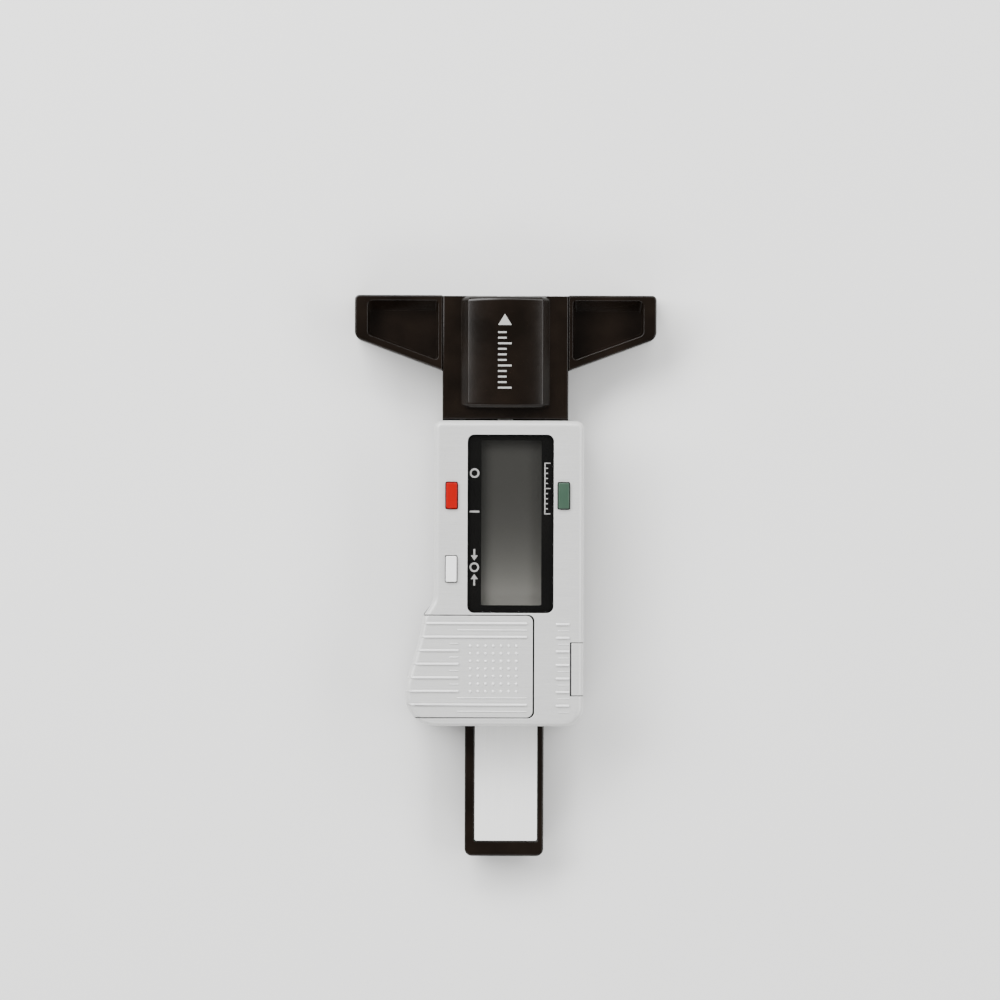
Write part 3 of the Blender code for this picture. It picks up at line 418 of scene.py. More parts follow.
class Finish:
    """A node material: small helpers that keep each recipe short."""

    def __init__(self, name):
        self.material = bpy.data.materials.new(name)
        self.material.use_nodes = True
        self.tree = self.material.node_tree
        self.shader = self.tree.nodes["Principled BSDF"]
        self.place = self.node("ShaderNodeTexCoord").outputs["Object"]

    def node(self, kind, **values):
        made = self.tree.nodes.new(kind)
        for key, value in values.items():
            if hasattr(made, key):
                setattr(made, key, value)
            else:
                made.inputs[key.replace("_", " ").title()].default_value = value
        return made

    def link(self, output, target):
        self.tree.links.new(output, target)

    def set(self, **values):
        """Values that are the same all over, on the shader's own sockets."""
        for key, value in values.items():
            self.shader.inputs[key.replace("_", " ").title().replace("Ior", "IOR")].default_value = value

    def stretched(self, scale):
        mapping = self.node("ShaderNodeMapping")
        mapping.inputs["Scale"].default_value = scale
        self.link(self.place, mapping.inputs["Vector"])
        return mapping.outputs["Vector"]

    def noise(self, size, detail=2.0, rough=0.5, stretch=None):
        """Noise with features of this size in millimetres."""
        made = self.node("ShaderNodeTexNoise", scale=1 / (size * MM), detail=detail, roughness=rough)
        self.link(self.stretched(stretch) if stretch else self.place, made.inputs["Vector"])
        return made.outputs["Fac"]

    def cells(self, size):
        """How far each point is from the middle of its cell, for cells of about this size."""
        made = self.node("ShaderNodeTexVoronoi", scale=1 / (size * MM))
        self.link(self.place, made.inputs["Vector"])
        return made.outputs["Distance"]

    def flakes(self, size, shape="EUCLIDEAN"):
        """A random grey for each cell: small cells are metallic flakes, large ones are patches."""
        made = self.node("ShaderNodeTexVoronoi", scale=1 / (size * MM), distance=shape)
        self.link(self.place, made.inputs["Vector"])
        grey = self.node("ShaderNodeSeparateColor")
        self.link(made.outputs["Color"], grey.inputs["Color"])
        return grey.outputs[0]

    def fitted(self, value, low, high, to_low, to_high):
        made = self.node("ShaderNodeMapRange")
        for key, number in zip(("From Min", "From Max", "To Min", "To Max"), (low, high, to_low, to_high)):
            made.inputs[key].default_value = number
        self.link(value, made.inputs["Value"])
        return made.outputs["Result"]

    def mixed(self, factor, first, second):
        """A colour between two others, each a colour or a socket."""
        made = self.node("ShaderNodeMix", data_type="RGBA")
        self.link(factor, made.inputs[0])
        for socket, value in ((made.inputs[6], first), (made.inputs[7], second)):
            if isinstance(value, bpy.types.NodeSocket):
                self.link(value, socket)
            else:
                socket.default_value = (*value, 1.0)
        return made.outputs[2]

    def rubbed(self, reach=0.22):
        """Where edges are rubbed, in patches: near them, a rounded normal leaves the surface's own."""
        rounded_off = self.node("ShaderNodeBevel", samples=4, radius=reach * MM)
        own = self.node("ShaderNodeNewGeometry")
        agree = self.node("ShaderNodeVectorMath", operation="DOT_PRODUCT")
        self.link(rounded_off.outputs["Normal"], agree.inputs[0])
        self.link(own.outputs["Normal"], agree.inputs[1])
        patches = self.fitted(self.noise(1.8, 3.0, 0.6), 0.40, 0.62, 0.15, 1)
        return self.times(self.fitted(agree.outputs["Value"], 0.995, 0.90, 0, 1), patches)

    def times(self, first, second):
        made = self.node("ShaderNodeMath", operation="MULTIPLY")
        self.link(first, made.inputs[0])
        if isinstance(second, bpy.types.NodeSocket):
            self.link(second, made.inputs[1])
        else:
            made.inputs[1].default_value = second
        return made.outputs[0]

    def plus(self, first, second):
        made = self.node("ShaderNodeMath", operation="ADD")
        self.link(first, made.inputs[0])
        self.link(second, made.inputs[1])
        return made.outputs[0]

    def color(self, output):
        self.link(output, self.shader.inputs["Base Color"])

    def rough(self, output):
        self.link(output, self.shader.inputs["Roughness"])

    def bump(self, height, depth, strength=1.0):
        """Relief of this depth in millimetres."""
        made = self.node("ShaderNodeBump")
        made.inputs["Strength"].default_value = strength
        made.inputs["Distance"].default_value = depth * MM
        self.link(height, made.inputs["Height"])
        self.link(made.outputs["Normal"], self.shader.inputs["Normal"])


def moulded(name, color, light, rough, grain=0.35, relief=0.004, wear=None, **values):
    """Moulded plastic: a fine grain over a cloudy gloss, and a trace of wear along its edges."""
    made = Finish(name)
    cloud = made.noise(9.0, 3.0)
    fine = made.noise(grain, 3.0, 0.6)
    base = made.mixed(made.fitted(cloud, 0.35, 0.65, 0, 1), color, light)
    made.color(made.mixed(made.rubbed(), base, wear) if wear else base)
    made.rough(made.fitted(made.plus(made.times(cloud, 0.6), made.times(fine, 0.4)), 0.35, 0.65, *rough))
    made.bump(fine, relief)
    made.set(**values)
    return made.material


def gloss_black():
    return moulded(
        "gloss_black_plastic",
        (0.0040, 0.0025, 0.0015),
        (0.0082, 0.0051, 0.0032),
        (0.20, 0.26),
        grain=0.6,
        relief=0.0015,
        wear=(0.016, 0.012, 0.009),
        specular_ior_level=0.3,
    )


def satin_black():
    return moulded(
        "satin_black_plastic",
        (0.006, 0.005, 0.0042),
        (0.0095, 0.008, 0.007),
        (0.34, 0.46),
        grain=0.22,
        relief=0.006,
        wear=(0.024, 0.021, 0.018),
    )


def bare_plastic_and_gap_shade():
    """The unpainted inside of the housing, lid and port cover: bare plastic, kept this dark as painted shade
    in the gaps round the buttons, lid and port cover.
    """
    return moulded(
        "bare_grey_plastic_and_gap_shade",
        (0.016, 0.016, 0.015),
        (0.026, 0.026, 0.025),
        (0.4, 0.55),
        grain=0.25,
        relief=0.008,
        wear=(0.05, 0.05, 0.048),
    )


def silver_paint():
    """Silver lacquer: fine flakes, faint streaks across, and a painted highlight that makes the tops of the
    raised ribs and dots near white.
    """
    made = Finish("silver_lacquer")
    flake = made.flakes(0.07)
    cloud = made.noise(7.0, 3.0)
    streak = made.noise(0.22, 3.0, 0.6, stretch=(0.03, 1, 1))
    height = made.node("ShaderNodeSeparateXYZ")
    made.link(made.place, height.inputs["Vector"])
    # Painted highlight: what stands more than a little above the face, the tops of the ribs and dots, is
    # painted near white
    raised_top_highlight = made.fitted(height.outputs["Z"], (FACE + 0.04) * MM, (FACE + 0.2) * MM, 0, 1)
    base = made.mixed(flake, (0.51, 0.51, 0.50), (0.63, 0.63, 0.62))
    base = made.mixed(made.fitted(cloud, 0.3, 0.7, 0, 0.3), base, (0.60, 0.60, 0.585))
    base = made.mixed(made.fitted(streak, 0.35, 0.65, 0, 0.4), base, (0.69, 0.69, 0.68))
    base = made.mixed(made.rubbed(), base, (0.76, 0.76, 0.75))
    # The painted highlight on the rib and dot tops
    base = made.mixed(raised_top_highlight, base, (0.97, 0.97, 0.965))
    made.color(base)
    made.rough(made.fitted(made.plus(flake, cloud), 0.3, 1.4, 0.30, 0.42))
    made.bump(made.plus(streak, flake), 0.003)
    made.set(metallic=0.12, coat_weight=0.15, coat_roughness=0.2)
    return made.material


def foil():
    """The label on the beam: brushed silver foil."""
    made = Finish("brushed_foil")
    streak = made.noise(0.25, 3.0, 0.65, stretch=(1, 0.02, 1))
    cloud = made.noise(12.0, 2.0)
    base = made.mixed(streak, (0.84, 0.84, 0.825), (0.97, 0.97, 0.96))
    made.color(made.mixed(made.fitted(cloud, 0.3, 0.7, 0, 0.25), base, (0.87, 0.87, 0.855)))
    made.rough(made.fitted(streak, 0.3, 0.7, 0.34, 0.48))
    made.bump(streak, 0.002)
    made.set(metallic=0.08)
    return made.material


def steel(name, color, light, rough, stretch=None, grain=0.12, relief=0.002):
    """Bare or plated metal, brushed where a stretch is given."""
    made = Finish(name)
    fine = made.noise(grain, 3.0, 0.6, stretch=stretch)
    cloud = made.noise(3.0, 3.0)
    made.color(made.mixed(made.fitted(made.plus(fine, cloud), 0.7, 1.3, 0, 1), color, light))
    made.rough(made.fitted(fine, 0.3, 0.7, *rough))
    made.bump(fine, relief)
    made.set(metallic=1.0)
    return made.material


def display_grey():
    """The unlit display: grey polariser film, with painted light that makes it a little lighter towards the
    tail end.
    """
    made = Finish("display_grey")
    along = made.node("ShaderNodeSeparateXYZ")
    made.link(made.place, along.inputs["Vector"])
    # Painted light: the film is painted lighter towards the tail end, at low Y
    painted_light_towards_tail = made.fitted(along.outputs["Y"], PANEL_LOW.y * MM, PANEL_HIGH.y * MM, 1, 0)
    painted_light_towards_tail = made.times(painted_light_towards_tail, painted_light_towards_tail)
    fine = made.noise(0.12, 2.0, 0.6)
    base = made.mixed(made.times(painted_light_towards_tail, painted_light_towards_tail), (0.050, 0.049, 0.045), (0.285, 0.280, 0.256))
    made.color(made.mixed(made.fitted(fine, 0.3, 0.7, 0, 0.1), base, (0.13, 0.13, 0.12)))
    made.rough(made.fitted(fine, 0.3, 0.7, 0.16, 0.24))
    made.bump(fine, 0.001)
    made.set(specular_ior_level=0.3)
    return made.material


def clear_pane():
    """Clear acrylic, smoky enough to hold a reflection."""
    made = Finish("clear_pane")
    fine = made.noise(0.8, 2.0)
    made.color(made.mixed(fine, (0.006, 0.006, 0.006), (0.010, 0.010, 0.009)))
    made.rough(made.fitted(fine, 0.3, 0.7, 0.03, 0.07))
    made.bump(fine, 0.001)
    made.set(alpha=0.16, specular_ior_level=0.6)
    return made.material


def circuit_board():
    """Green solder mask over copper: patches of tracks along X or along Y, and tinned vias."""
    made = Finish("circuit_board")
    runs = []
    for turn in (0, math.pi / 2):
        turned = made.node("ShaderNodeMapping", rotation=(0, 0, turn))
        made.link(made.place, turned.inputs["Vector"])
        run = made.node(
            "ShaderNodeTexBrick",
            offset=0.37,
            scale=1 / MM,
            brick_width=6.5,
            row_height=0.6,
            mortar_size=0.13,
            mortar_smooth=0.2,
            color1=(0.020, 0.17, 0.070, 1),
            color2=(0.014, 0.13, 0.052, 1),
            mortar=(0.008, 0.065, 0.028, 1),
        )
        made.link(turned.outputs["Vector"], run.inputs["Vector"])
        runs.append(run.outputs["Color"])
    tracks = made.mixed(made.fitted(made.flakes(4.5, "CHEBYCHEV"), 0.49, 0.51, 0, 1), *runs)
    vias = made.fitted(made.cells(2.6), 0.10, 0.13, 1, 0)
    made.color(made.mixed(vias, tracks, (0.52, 0.51, 0.47)))
    made.link(vias, made.shader.inputs["Metallic"])
    made.rough(made.fitted(made.noise(0.3, 3.0), 0.3, 0.7, 0.28, 0.42))
    made.bump(tracks, 0.3)
    return made.material


def striped_rubber():
    """Connector rubber: dark conducting layers across a pale strip."""
    made = Finish("striped_rubber")
    wave = made.node("ShaderNodeTexWave", wave_type="BANDS", bands_direction="Y", scale=1 / (1.6 * MM))
    made.link(made.place, wave.inputs["Vector"])
    fine = made.noise(0.2, 2.0)
    made.color(made.mixed(wave.outputs["Fac"], (0.12, 0.10, 0.10), (0.60, 0.47, 0.44)))
    made.rough(made.fitted(fine, 0.3, 0.7, 0.55, 0.75))
    made.bump(fine, 0.01)
    return made.material


def print_ink(name, color, worn=0.88):
    """Printed ink, a little thinner in places."""
    made = Finish(name)
    fine = made.noise(0.15, 2.0)
    made.color(made.mixed(fine, color, tuple(worn * channel for channel in color)))
    made.rough(made.fitted(fine, 0.3, 0.7, 0.35, 0.5))
    made.bump(fine, 0.002)
    return made.material


BLACK = gloss_black()
SATIN = satin_black()
# Bare plastic inside the silver pieces, dark enough to be painted shade in their gaps
INSIDE_AND_GAP_SHADE = bare_plastic_and_gap_shade()
SILVER = silver_paint()
FOIL = foil()
BRUSHED = steel(
    "brushed_steel",
    (0.36, 0.355, 0.345),
    (0.46, 0.455, 0.44),
    (0.26, 0.34),
    stretch=(1, 0.03, 1),
    grain=0.07,
    relief=0.0012,
)
NICKEL = steel(
    "nickel_plate",
    (0.40, 0.395, 0.38),
    (0.48, 0.475, 0.455),
    (0.22, 0.32),
    grain=0.3,
    relief=0.0003,
)
ZINC = steel("zinc_plate", (0.38, 0.38, 0.36), (0.60, 0.60, 0.57), (0.25, 0.42))
DISPLAY = display_grey()
PANE = clear_pane()
BOARD = circuit_board()
STRIPES = striped_rubber()
WHITE_INK = print_ink("white_ink", (0.66, 0.65, 0.63))
SILVER_INK = print_ink("silver_ink", (0.42, 0.42, 0.405))
BORDER = moulded(
    "window_print",
    (0.0035, 0.0035, 0.0035),
    (0.006, 0.0056, 0.0052),
    (0.2, 0.3),
    relief=0.001,
    specular_ior_level=0.1,
)
RED = moulded(
    "red_plastic",
    (0.32, 0.0002, 0.0001),
    (0.37, 0.0005, 0.0002),
    (0.34, 0.46),
    wear=(0.45, 0.008, 0.003),
    specular_ior_level=0.15,
)
WHITE = moulded(
    "white_plastic",
    (0.91, 0.91, 0.905),
    (0.96, 0.96, 0.955),
    (0.30, 0.42),
    wear=(0.97, 0.97, 0.96),
)
GREEN = moulded(
    "green_plastic",
    (0.036, 0.071, 0.048),
    (0.049, 0.090, 0.062),
    (0.34, 0.46),
    wear=(0.09, 0.15, 0.11),
    specular_ior_level=0.3,
)
SOCKET = moulded("socket_plastic", (0.04, 0.04, 0.04), (0.06, 0.06, 0.06), (0.4, 0.55))
EPOXY = moulded("epoxy_drop", (0.008, 0.008, 0.008), (0.014, 0.014, 0.014), (0.12, 0.25), relief=0.01)


# ---------------------------------------------------------------- frame and stem

HEAD_SLOPE = (TIP_Y - ARMPIT_Y) / (HEAD_HALF - STEM_HALF)


def mirrored(corners):
    return [(-x, y, radius) for x, y, radius in reversed(corners)]


def wing_pocket(side):
    """The hollow in the front of one wing: a long slope on its upper side, and a rolled rim."""
    inner, outer, top, rim, bottom, roll, straight = 13.4, 27.4, 54.7, 1.7, 5.0, 0.16, 0.3
    inner_y = TIP_Y - (HEAD_HALF - inner) * HEAD_SLOPE + rim
    outer_y = TIP_Y - (HEAD_HALF - outer) * HEAD_SLOPE + rim
    mouth = [(outer, top, 1.0), (inner, top, 0.6), (inner, inner_y, 0.6), (outer, outer_y, 1.0)]
    drop, draft = 1.9, 0.35
    ground = [
        (outer - draft, top - drop, 0.7),
        (inner + draft, top - drop, 0.4),
        (inner + draft, inner_y + draft, 0.4),
        (outer - draft, outer_y + draft, 0.7),
    ]
    levels = [(bottom, ground), (WING_TOP - roll - straight, mouth)]
    steps = 5
    for step in range(steps + 1):
        turn = math.pi / 2 * step / steps
        levels.append((WING_TOP - roll + roll * math.sin(turn), inset(mouth, -roll * (1 - math.cos(turn)))))
    levels.append((WING_TOP + 1, inset(mouth, -roll)))
    return loft([(height, corners if side > 0 else mirrored(corners)) for height, corners in levels], 6)


def screw_holes(places):
    holes = []
    for x, y in places:
        holes.append(cylinder(x, y, SCREW_RADIUS + GAP, -1, BASE_TOP + 1))
        holes.append(cylinder(x, y, SCREW_HEAD + GAP, -1, SCREW_HEAD_HIGH + SEAT))
    return holes


def frame_moulding():
    """T-head, stem and base."""
    wing_back, back_round, front_round = 0.3, 0.3, 0.4
    margin, root_y, hidden = 0.25, 53.0, 1.0
    head_corners = [
        (HEAD_HALF, FACE_Y, 0.9),
        (-HEAD_HALF, FACE_Y, 0.9),
        (-HEAD_HALF, TIP_Y, 2.0),
        (hidden - STEM_HALF, ARMPIT_Y - hidden * HEAD_SLOPE, 0.8),
        (STEM_HALF - hidden, ARMPIT_Y - hidden * HEAD_SLOPE, 0.8),
        (HEAD_HALF, TIP_Y, 2.0),
    ]
    head = softened(head_corners, wing_back, WING_TOP, back_round, front_round)
    step, behind_cover = SEAT / 2, 1.2
    room_low = (-STEM_HALF - step, COVER_LOW.y - behind_cover, BASE_TOP - step)
    room = block(room_low, (STEM_HALF + step, FACE_Y + 1, WING_TOP + 1))
    outline = shell_outline(margin)
    top = SHELL_TOP - margin
    right = [point for point in outline if point.x > 0 and point.y > 0]
    rest = [point for point in outline if point not in right]
    stem = [(STEM_HALF, top), (STEM_HALF, root_y), (-STEM_HALF, root_y), (-STEM_HALF, top)]
    base = plate([*right, *map(Vector, stem), *rest], 0, BASE_TOP)
    base_round = 0.5
    round_rim(base, -BASE_TOP / 2, base_round, 3)
    rail_start, past_shell, overlap = 0.6, 0.2, 0.4
    low_y, turn_y = SHELL_BOTTOM + rail_start, SHELL_TOP + past_shell
    end_y = FACE_Y - END_WALL
    high_y = end_y - SEAT
    side = CHANNEL_HALF + SPRING_ROOM
    rails = [
        block((-CHANNEL_HALF - RAIL, low_y, 1), (overlap - CHANNEL_HALF, high_y, RAIL_TOP)),
        block((CHANNEL_HALF - overlap, turn_y - overlap, 1), (CHANNEL_HALF + RAIL, high_y, RAIL_TOP - step)),
        block((side - overlap, low_y, 1), (side + RAIL, turn_y, RAIL_TOP)),
    ]
    channel = block((-CHANNEL_HALF, SHELL_BOTTOM - 2, FLOOR_TOP), (CHANNEL_HALF, end_y, RAIL_TOP + 1))
    spring_bay = block((0, SHELL_BOTTOM - 2, FLOOR_TOP), (side, turn_y - SEAT, RAIL_TOP + 1))
    slot_half, slot_length = PROBE_HIGH.x + GAP, 5
    slot_low = (-slot_half, FACE_Y - slot_length, PROBE_LOW.z - SEAT)
    slot = block(slot_low, (slot_half, FACE_Y + 1, RAIL_TOP + 1))
    groove_half = STOP_PIN_RADIUS + GAP
    groove = block(
        (-groove_half, STOP_PIN_Y - groove_half, GROOVE_FLOOR),
        (groove_half, STOP_PIN_Y + DEPTH_TRAVEL + groove_half, FLOOR_TOP + 1),
    )
    carve(head, room, wing_pocket(-1), wing_pocket(1))
    join(head, base, *rails)
    cut(head, channel, spring_bay, slot, groove, *screw_holes(HOUSING_SCREWS + STEM_SCREWS))
    settle(head, "frame_moulding", "body", BLACK, SATIN, 0.1, ["frame"])


def stem_ridge():
    """The cover on the stem: flat flanks, and a domed ridge that is rounded off at both ends."""
    half = STEM_HALF - SEAT
    low_y, high_y = COVER_LOW.y, COVER_HIGH.y
    section = [(-half, COVER_LOW.z), (half, COVER_LOW.z), (half, WING_TOP), (-half, WING_TOP)]
    slab = bar(section, low_y, high_y)
    foot, crown_half, shoulder, crown = 8.8, 7.4, 9.5, COVER_HIGH.z
    sagitta = crown - shoulder
    radius = (crown_half**2 + sagitta**2) / (2 * sagitta)
    reach = math.asin(crown_half / radius)
    steps, soft_shoulder = 24, 0.5
    arc = []
    for step in range(steps + 1):
        angle = reach * (1 - 2 * step / steps)
        corner = soft_shoulder if step in (0, steps) else 0
        arc.append((radius * math.sin(angle), crown - radius * (1 - math.cos(angle)), corner))
    inside, step_up, ridge_low, ridge_high, end_round = WING_TOP - 2.4, 0.15, 33.4, high_y - 0.05, 1.0
    base = WING_TOP + step_up
    profile = rounded([(-foot, inside, 0), (foot, inside, 0), (foot, base, 0), *arc, (-foot, base, 0)], 4)
    ridge = bar(profile, ridge_low, ridge_high)
    ridge_half = (ridge_high - ridge_low) / 2
    round_rim(ridge, ridge_half, end_round, 6)
    round_rim(ridge, -ridge_half, end_round, 6)
    join(slab, ridge)
    rail_room = CHANNEL_HALF + RAIL + SEAT
    end_y = FACE_Y - END_WALL
    cut(slab, block((-rail_room, low_y - 1, COVER_LOW.z - 1), (rail_room, end_y, RAIL_TOP + 2 * SEAT)))
    hollow_half, wall = 6.6, 0.9
    hollow_low = (-hollow_half, ridge_low + 2, RAIL_TOP - 1)
    cut(slab, block(hollow_low, (hollow_half, end_y - wall, shoulder - wall)))
    settle(slab, "stem_ridge", "body", BLACK, SATIN, 0.18, ["stem_cover"])


def stem_mark():
    """Plain graduations and an arrow to the measuring face, printed along the ridge."""
    left, right, low_y, high_y = -1.5, 1.2, 37.2, 52.0
    arrow, space, pitch, stroke, past_middle = 2.2, 0.6, 1.1, 0.34, 0.35
    proud, thickness = 0.004, 0.25
    high = COVER_HIGH.z + proud
    low = high - thickness
    arrow_y = high_y - arrow
    middle = (left + right) / 2
    marks = [plate([Vector((right, arrow_y)), Vector((middle, high_y)), Vector((left, arrow_y))], low, high)]
    for index in range(int((arrow_y - space - low_y) / pitch) + 1):
        y = low_y + index * pitch
        reach = right if index % 4 == 0 else middle + past_middle
        marks.append(block((left, y, low), (reach, y + stroke, high)))
    settle(together(marks), "stem_mark", "body", SILVER_INK)


# ---------------------------------------------------------------- housing, lid and port cover


def shell_block(rise=0.0):
    """The housing's outer shape, or one whose front stands this much prouder."""
    return softened(SHELL_CORNERS, SHELL_LOW.z, FACE + rise, 0, SHELL_ROUND + rise, 7, 10)


def lid_area(gap):
    """The lid's place on the front, less a gap that is widest on its right."""
    right, top, bottom = LID_RIGHT - 2 * gap, LID_TOP - 1.2 * gap, LID_BOTTOM + gap
    left_corners = [(-BEYOND, top, 0), (-BEYOND, bottom, 0)]
    return rounded([(right, top, LID_CORNER), *left_corners, (right, bottom, LID_CORNER)])


def ribs(places, width, height):
    """Raised ribs given as left, right and y, which follow the rounded edge of the housing."""
    root, half, corner = FACE - 0.6, width / 2, width * 0.3
    made = []
    for left, right, y in places:
        made.append(plate(rectangle(left, y - half, right, y + half, corner, 3), root, FACE + 1))
    return trim(together(made), shell_block(height))


# For each button's CAD node: its piece, its centre x, centre y, width and length, and its finish
BUTTONS = {
    "power_button": ("power_cap", (-10.55, 15.95, 2.15, 5.1), RED),
    "zero_button": ("zero_cap", (-10.6, 1.45, 2.15, 5.1), WHITE),
    "unit_button": ("unit_cap", (11.6, 15.95, 2.15, 5.1), GREEN),
}


def side_ribs():
    """Short ribs between the lid and the port cover, with fine ones between them."""
    left, right, drop, shorter = 10.1, 12.8, 0.15, 0.4
    rows = [RIB_FIRST_Y - drop - index * RIB_PITCH for index in range(RIB_COUNT)]
    main = ribs([(left, right, y) for y in rows], MAIN_WIDTH, MAIN_HEIGHT)
    fine = ribs([(left + shorter, right, y - RIB_PITCH / 2) for y in rows], FINE_WIDTH, FAINT_HEIGHT)
    return main, fine


def housing_shell():
    """The silver shell, cut for the board, beam, window, buttons, lid and port cover."""
    shell = shell_block()
    cut(shell, plate(shell_outline(WALL), 3, ROOF_UNDER))
    ledge = plate(shell_outline(WALL / 2), LEDGE_LOW, LEDGE_HIGH - SEAT)
    under_roof = 0.6
    ledge_end = (LID_RIGHT + 1, LID_TOP + under_roof, LEDGE_HIGH + 1)
    trim(ledge, block((-BEYOND, SHELL_BOTTOM, LEDGE_LOW - 1), ledge_end))
    join(shell, ledge)
    bay_top, bay_bottom = LID_TOP - LEDGE_WIDTH, LID_BOTTOM + LEDGE_WIDTH
    window = rectangle(*WINDOW_LOW.xy, *WINDOW_HIGH.xy, WINDOW_CORNER)
    way_half = CHANNEL_HALF + RAIL + SPRING_ROOM
    way_high = (way_half + SPRING_ROOM, SHELL_TOP + 1, RAIL_TOP + 2 * SEAT)
    port_low = (PORT_LOW.x + TONGUE - GAP, PORT_LOW.y - GAP, PORT_LOW.z - GAP)
    cut(
        shell,
        plate(lid_area(0), LEDGE_HIGH, FACE + 1),
        block((-BEYOND, bay_bottom, SKIRT_LOW - SEAT), (LID_RIGHT - 1, bay_top, FACE + 1)),
        plate(window, PANE_LOW.z - SEAT / 2, FACE + 1),
        block((VIEW_LEFT, VIEW_BOTTOM, ROOF_UNDER - 1), (VIEW_RIGHT, VIEW_TOP, FACE + 1)),
        block((-way_half, SHELL_BOTTOM - 1, SHELL_LOW.z - 1), way_high),
        block(port_low, (BEYOND, PORT_HIGH.y + GAP, FACE + 1)),
    )
    way_end = HOOK_RIGHT + 0.5
    for edge, outward in ((bay_top, 1), (bay_bottom, -1)):
        low, high = sorted((edge - outward * SEAT, edge + outward * (HOOK + SEAT)))
        cut(shell, block((-BEYOND, low, RAIL_FOOT - SEAT), (way_end, high, LEDGE_LOW - SEAT / 2)))
    for _, (x, y, width, length), _ in BUTTONS.values():
        half_x, half_y = width / 2 + GAP, length / 2 + GAP
        hole = rectangle(x - half_x, y - half_y, x + half_x, y + half_y, BUTTON_CORNER, 3)
        cut(shell, plate(hole, ROOF_UNDER - 1, FACE + 1))
    join(shell, *side_ribs())
    settle(shell, "housing_shell", "body", SILVER, INSIDE_AND_GAP_SHADE, 0.1, ["housing"])


def lid_ribs():
    """Ribs right across at both ends, shorter ones beside the thumb pad."""
    far, pad_left, pad_right, short, stub_left = -22.0, -9.4, RIB_END, -9.1, -10.9
    full = (0, 1, RIB_COUNT - 1)
    main, fine = [], []
    for row in range(RIB_COUNT):
        main.append((far, pad_right if row in full else short, RIB_FIRST_Y - row * RIB_PITCH))
        beside_pad = 0 < row < RIB_COUNT - 2
        left, right = (stub_left, short) if beside_pad else (pad_left, pad_right)
        fine.append((left, right, RIB_FIRST_Y - (row + 0.5) * RIB_PITCH))
    return ribs(main, MAIN_WIDTH, MAIN_HEIGHT), ribs(fine, FINE_WIDTH, FINE_HEIGHT)


def dot(x, y, radius=0.31, height=0.24, sunk=0.02):
    """One raised dot: a low cap."""
    bm = bmesh.new()
    bmesh.ops.create_uvsphere(bm, u_segments=16, v_segments=10, radius=radius * MM)
    bmesh.ops.scale(bm, vec=(1, 1, height / radius), verts=bm.verts)
    return helper(mesh_of(bm), (x, y, FACE - sunk))


def lid_dots():
    """The thumb pad's square of dots."""
    first_x, first_y, pitch_x, pitch_y, count = -6.8, -13.7, 1.52, 1.5, 7
    xs = [first_x + pitch_x * index for index in range(count)]
    ys = [first_y - pitch_y * index for index in range(count)]
    return together([dot(x, y) for x in xs for y in ys])


def battery_cover():
    """The lid: a ribbed plate, the side wall under it, and two hooked rails."""
    bay_top, bay_bottom = LID_TOP - LEDGE_WIDTH, LID_BOTTOM + LEDGE_WIDTH
    web, hook_lap, plate_lap, skirt_lap = 0.8, 0.3, 0.4, 0.5
    kept = plate(lid_area(GAP), LID_UNDER, FACE + 1)
    skirt_high = (HOOK_LEFT + skirt_lap, bay_top - GAP, LID_UNDER + skirt_lap)
    skirt = block((-BEYOND, bay_bottom + GAP, SKIRT_LOW), skirt_high)
    cut(skirt, plate(shell_outline(WALL - SEAT), SKIRT_LOW - 1, FACE + 1))
    lid = trim(shell_block(), join(kept, skirt))
    for inner, outward in ((bay_top - GAP, 1), (bay_bottom + GAP, -1)):
        web_low, web_high = sorted((inner, inner - outward * web))
        hook_low, hook_high = sorted((inner - outward * hook_lap, inner + outward * HOOK))
        join(lid, block((HOOK_LEFT, web_low, RAIL_FOOT), (HOOK_RIGHT, web_high, LID_UNDER + plate_lap)))
        join(lid, block((HOOK_LEFT, hook_low, RAIL_FOOT), (HOOK_RIGHT, hook_high, LEDGE_LOW - 2 * SEAT)))
    join(lid, *lid_ribs())
    settle(lid, "battery_cover", "battery_lid", SILVER, INSIDE_AND_GAP_SHADE, 0.1, ["battery_lid"], lid_dots())


def port_slide():
    """The port cover: a corner of the shell, hollow behind, with a tongue that goes under the roof."""
    cover = shell_block()
    front_left = PORT_LOW.x + TONGUE + GAP
    trim(cover, block((front_left, PORT_LOW.y, PORT_LOW.z), (BEYOND, PORT_HIGH.y, FACE + 1)))
    cut(cover, block(PORT_LOW - Vector((1, 1, 1)), (PORT_SIDE, PORT_HIGH.y + 1, PORT_FRONT)))
    short_of_side = 0.5
    tongue_high = (PORT_SIDE - short_of_side, PORT_HIGH.y - GAP, ROOF_UNDER - SEAT)
    join(cover, block((PORT_LOW.x, PORT_LOW.y + GAP, TONGUE_LOW), tongue_high))
    settle(cover, "port_slide", "port_cover", SILVER, INSIDE_AND_GAP_SHADE, 0.08, ["port_cover"])


def button_caps():
    """Caps with a crowned top, and the flange that keeps each one in."""
    for node, (name, (x, y, width, length), finish) in BUTTONS.items():
        low, high = span(node)
        corners = box_corners(x - width / 2, y - length / 2, x + width / 2, y + length / 2, BUTTON_CORNER)
        cap = softened(corners, low.z, high.z, 0, BUTTON_CROWN)
        flange = block((low.x, low.y, FLANGE_HIGH - FLANGE_THICKNESS), (high.x, high.y, FLANGE_HIGH))
        settle(join(cap, flange), name, node, finish, None, 0.06, [node])


# ---------------------------------------------------------------- window

# Its layers, as heights over its lower face: the border's top, the signs, and the pane's lower face
BORDER_TOP, SIGN_LOW, SIGN_HIGH, PANE_START = 0.25, 0.27, 0.29, 0.31


def ring(x, y, radius, stroke, low, high):
    return plate(ring_points(x, y, radius), low, high, ring_points(x, y, radius - stroke))


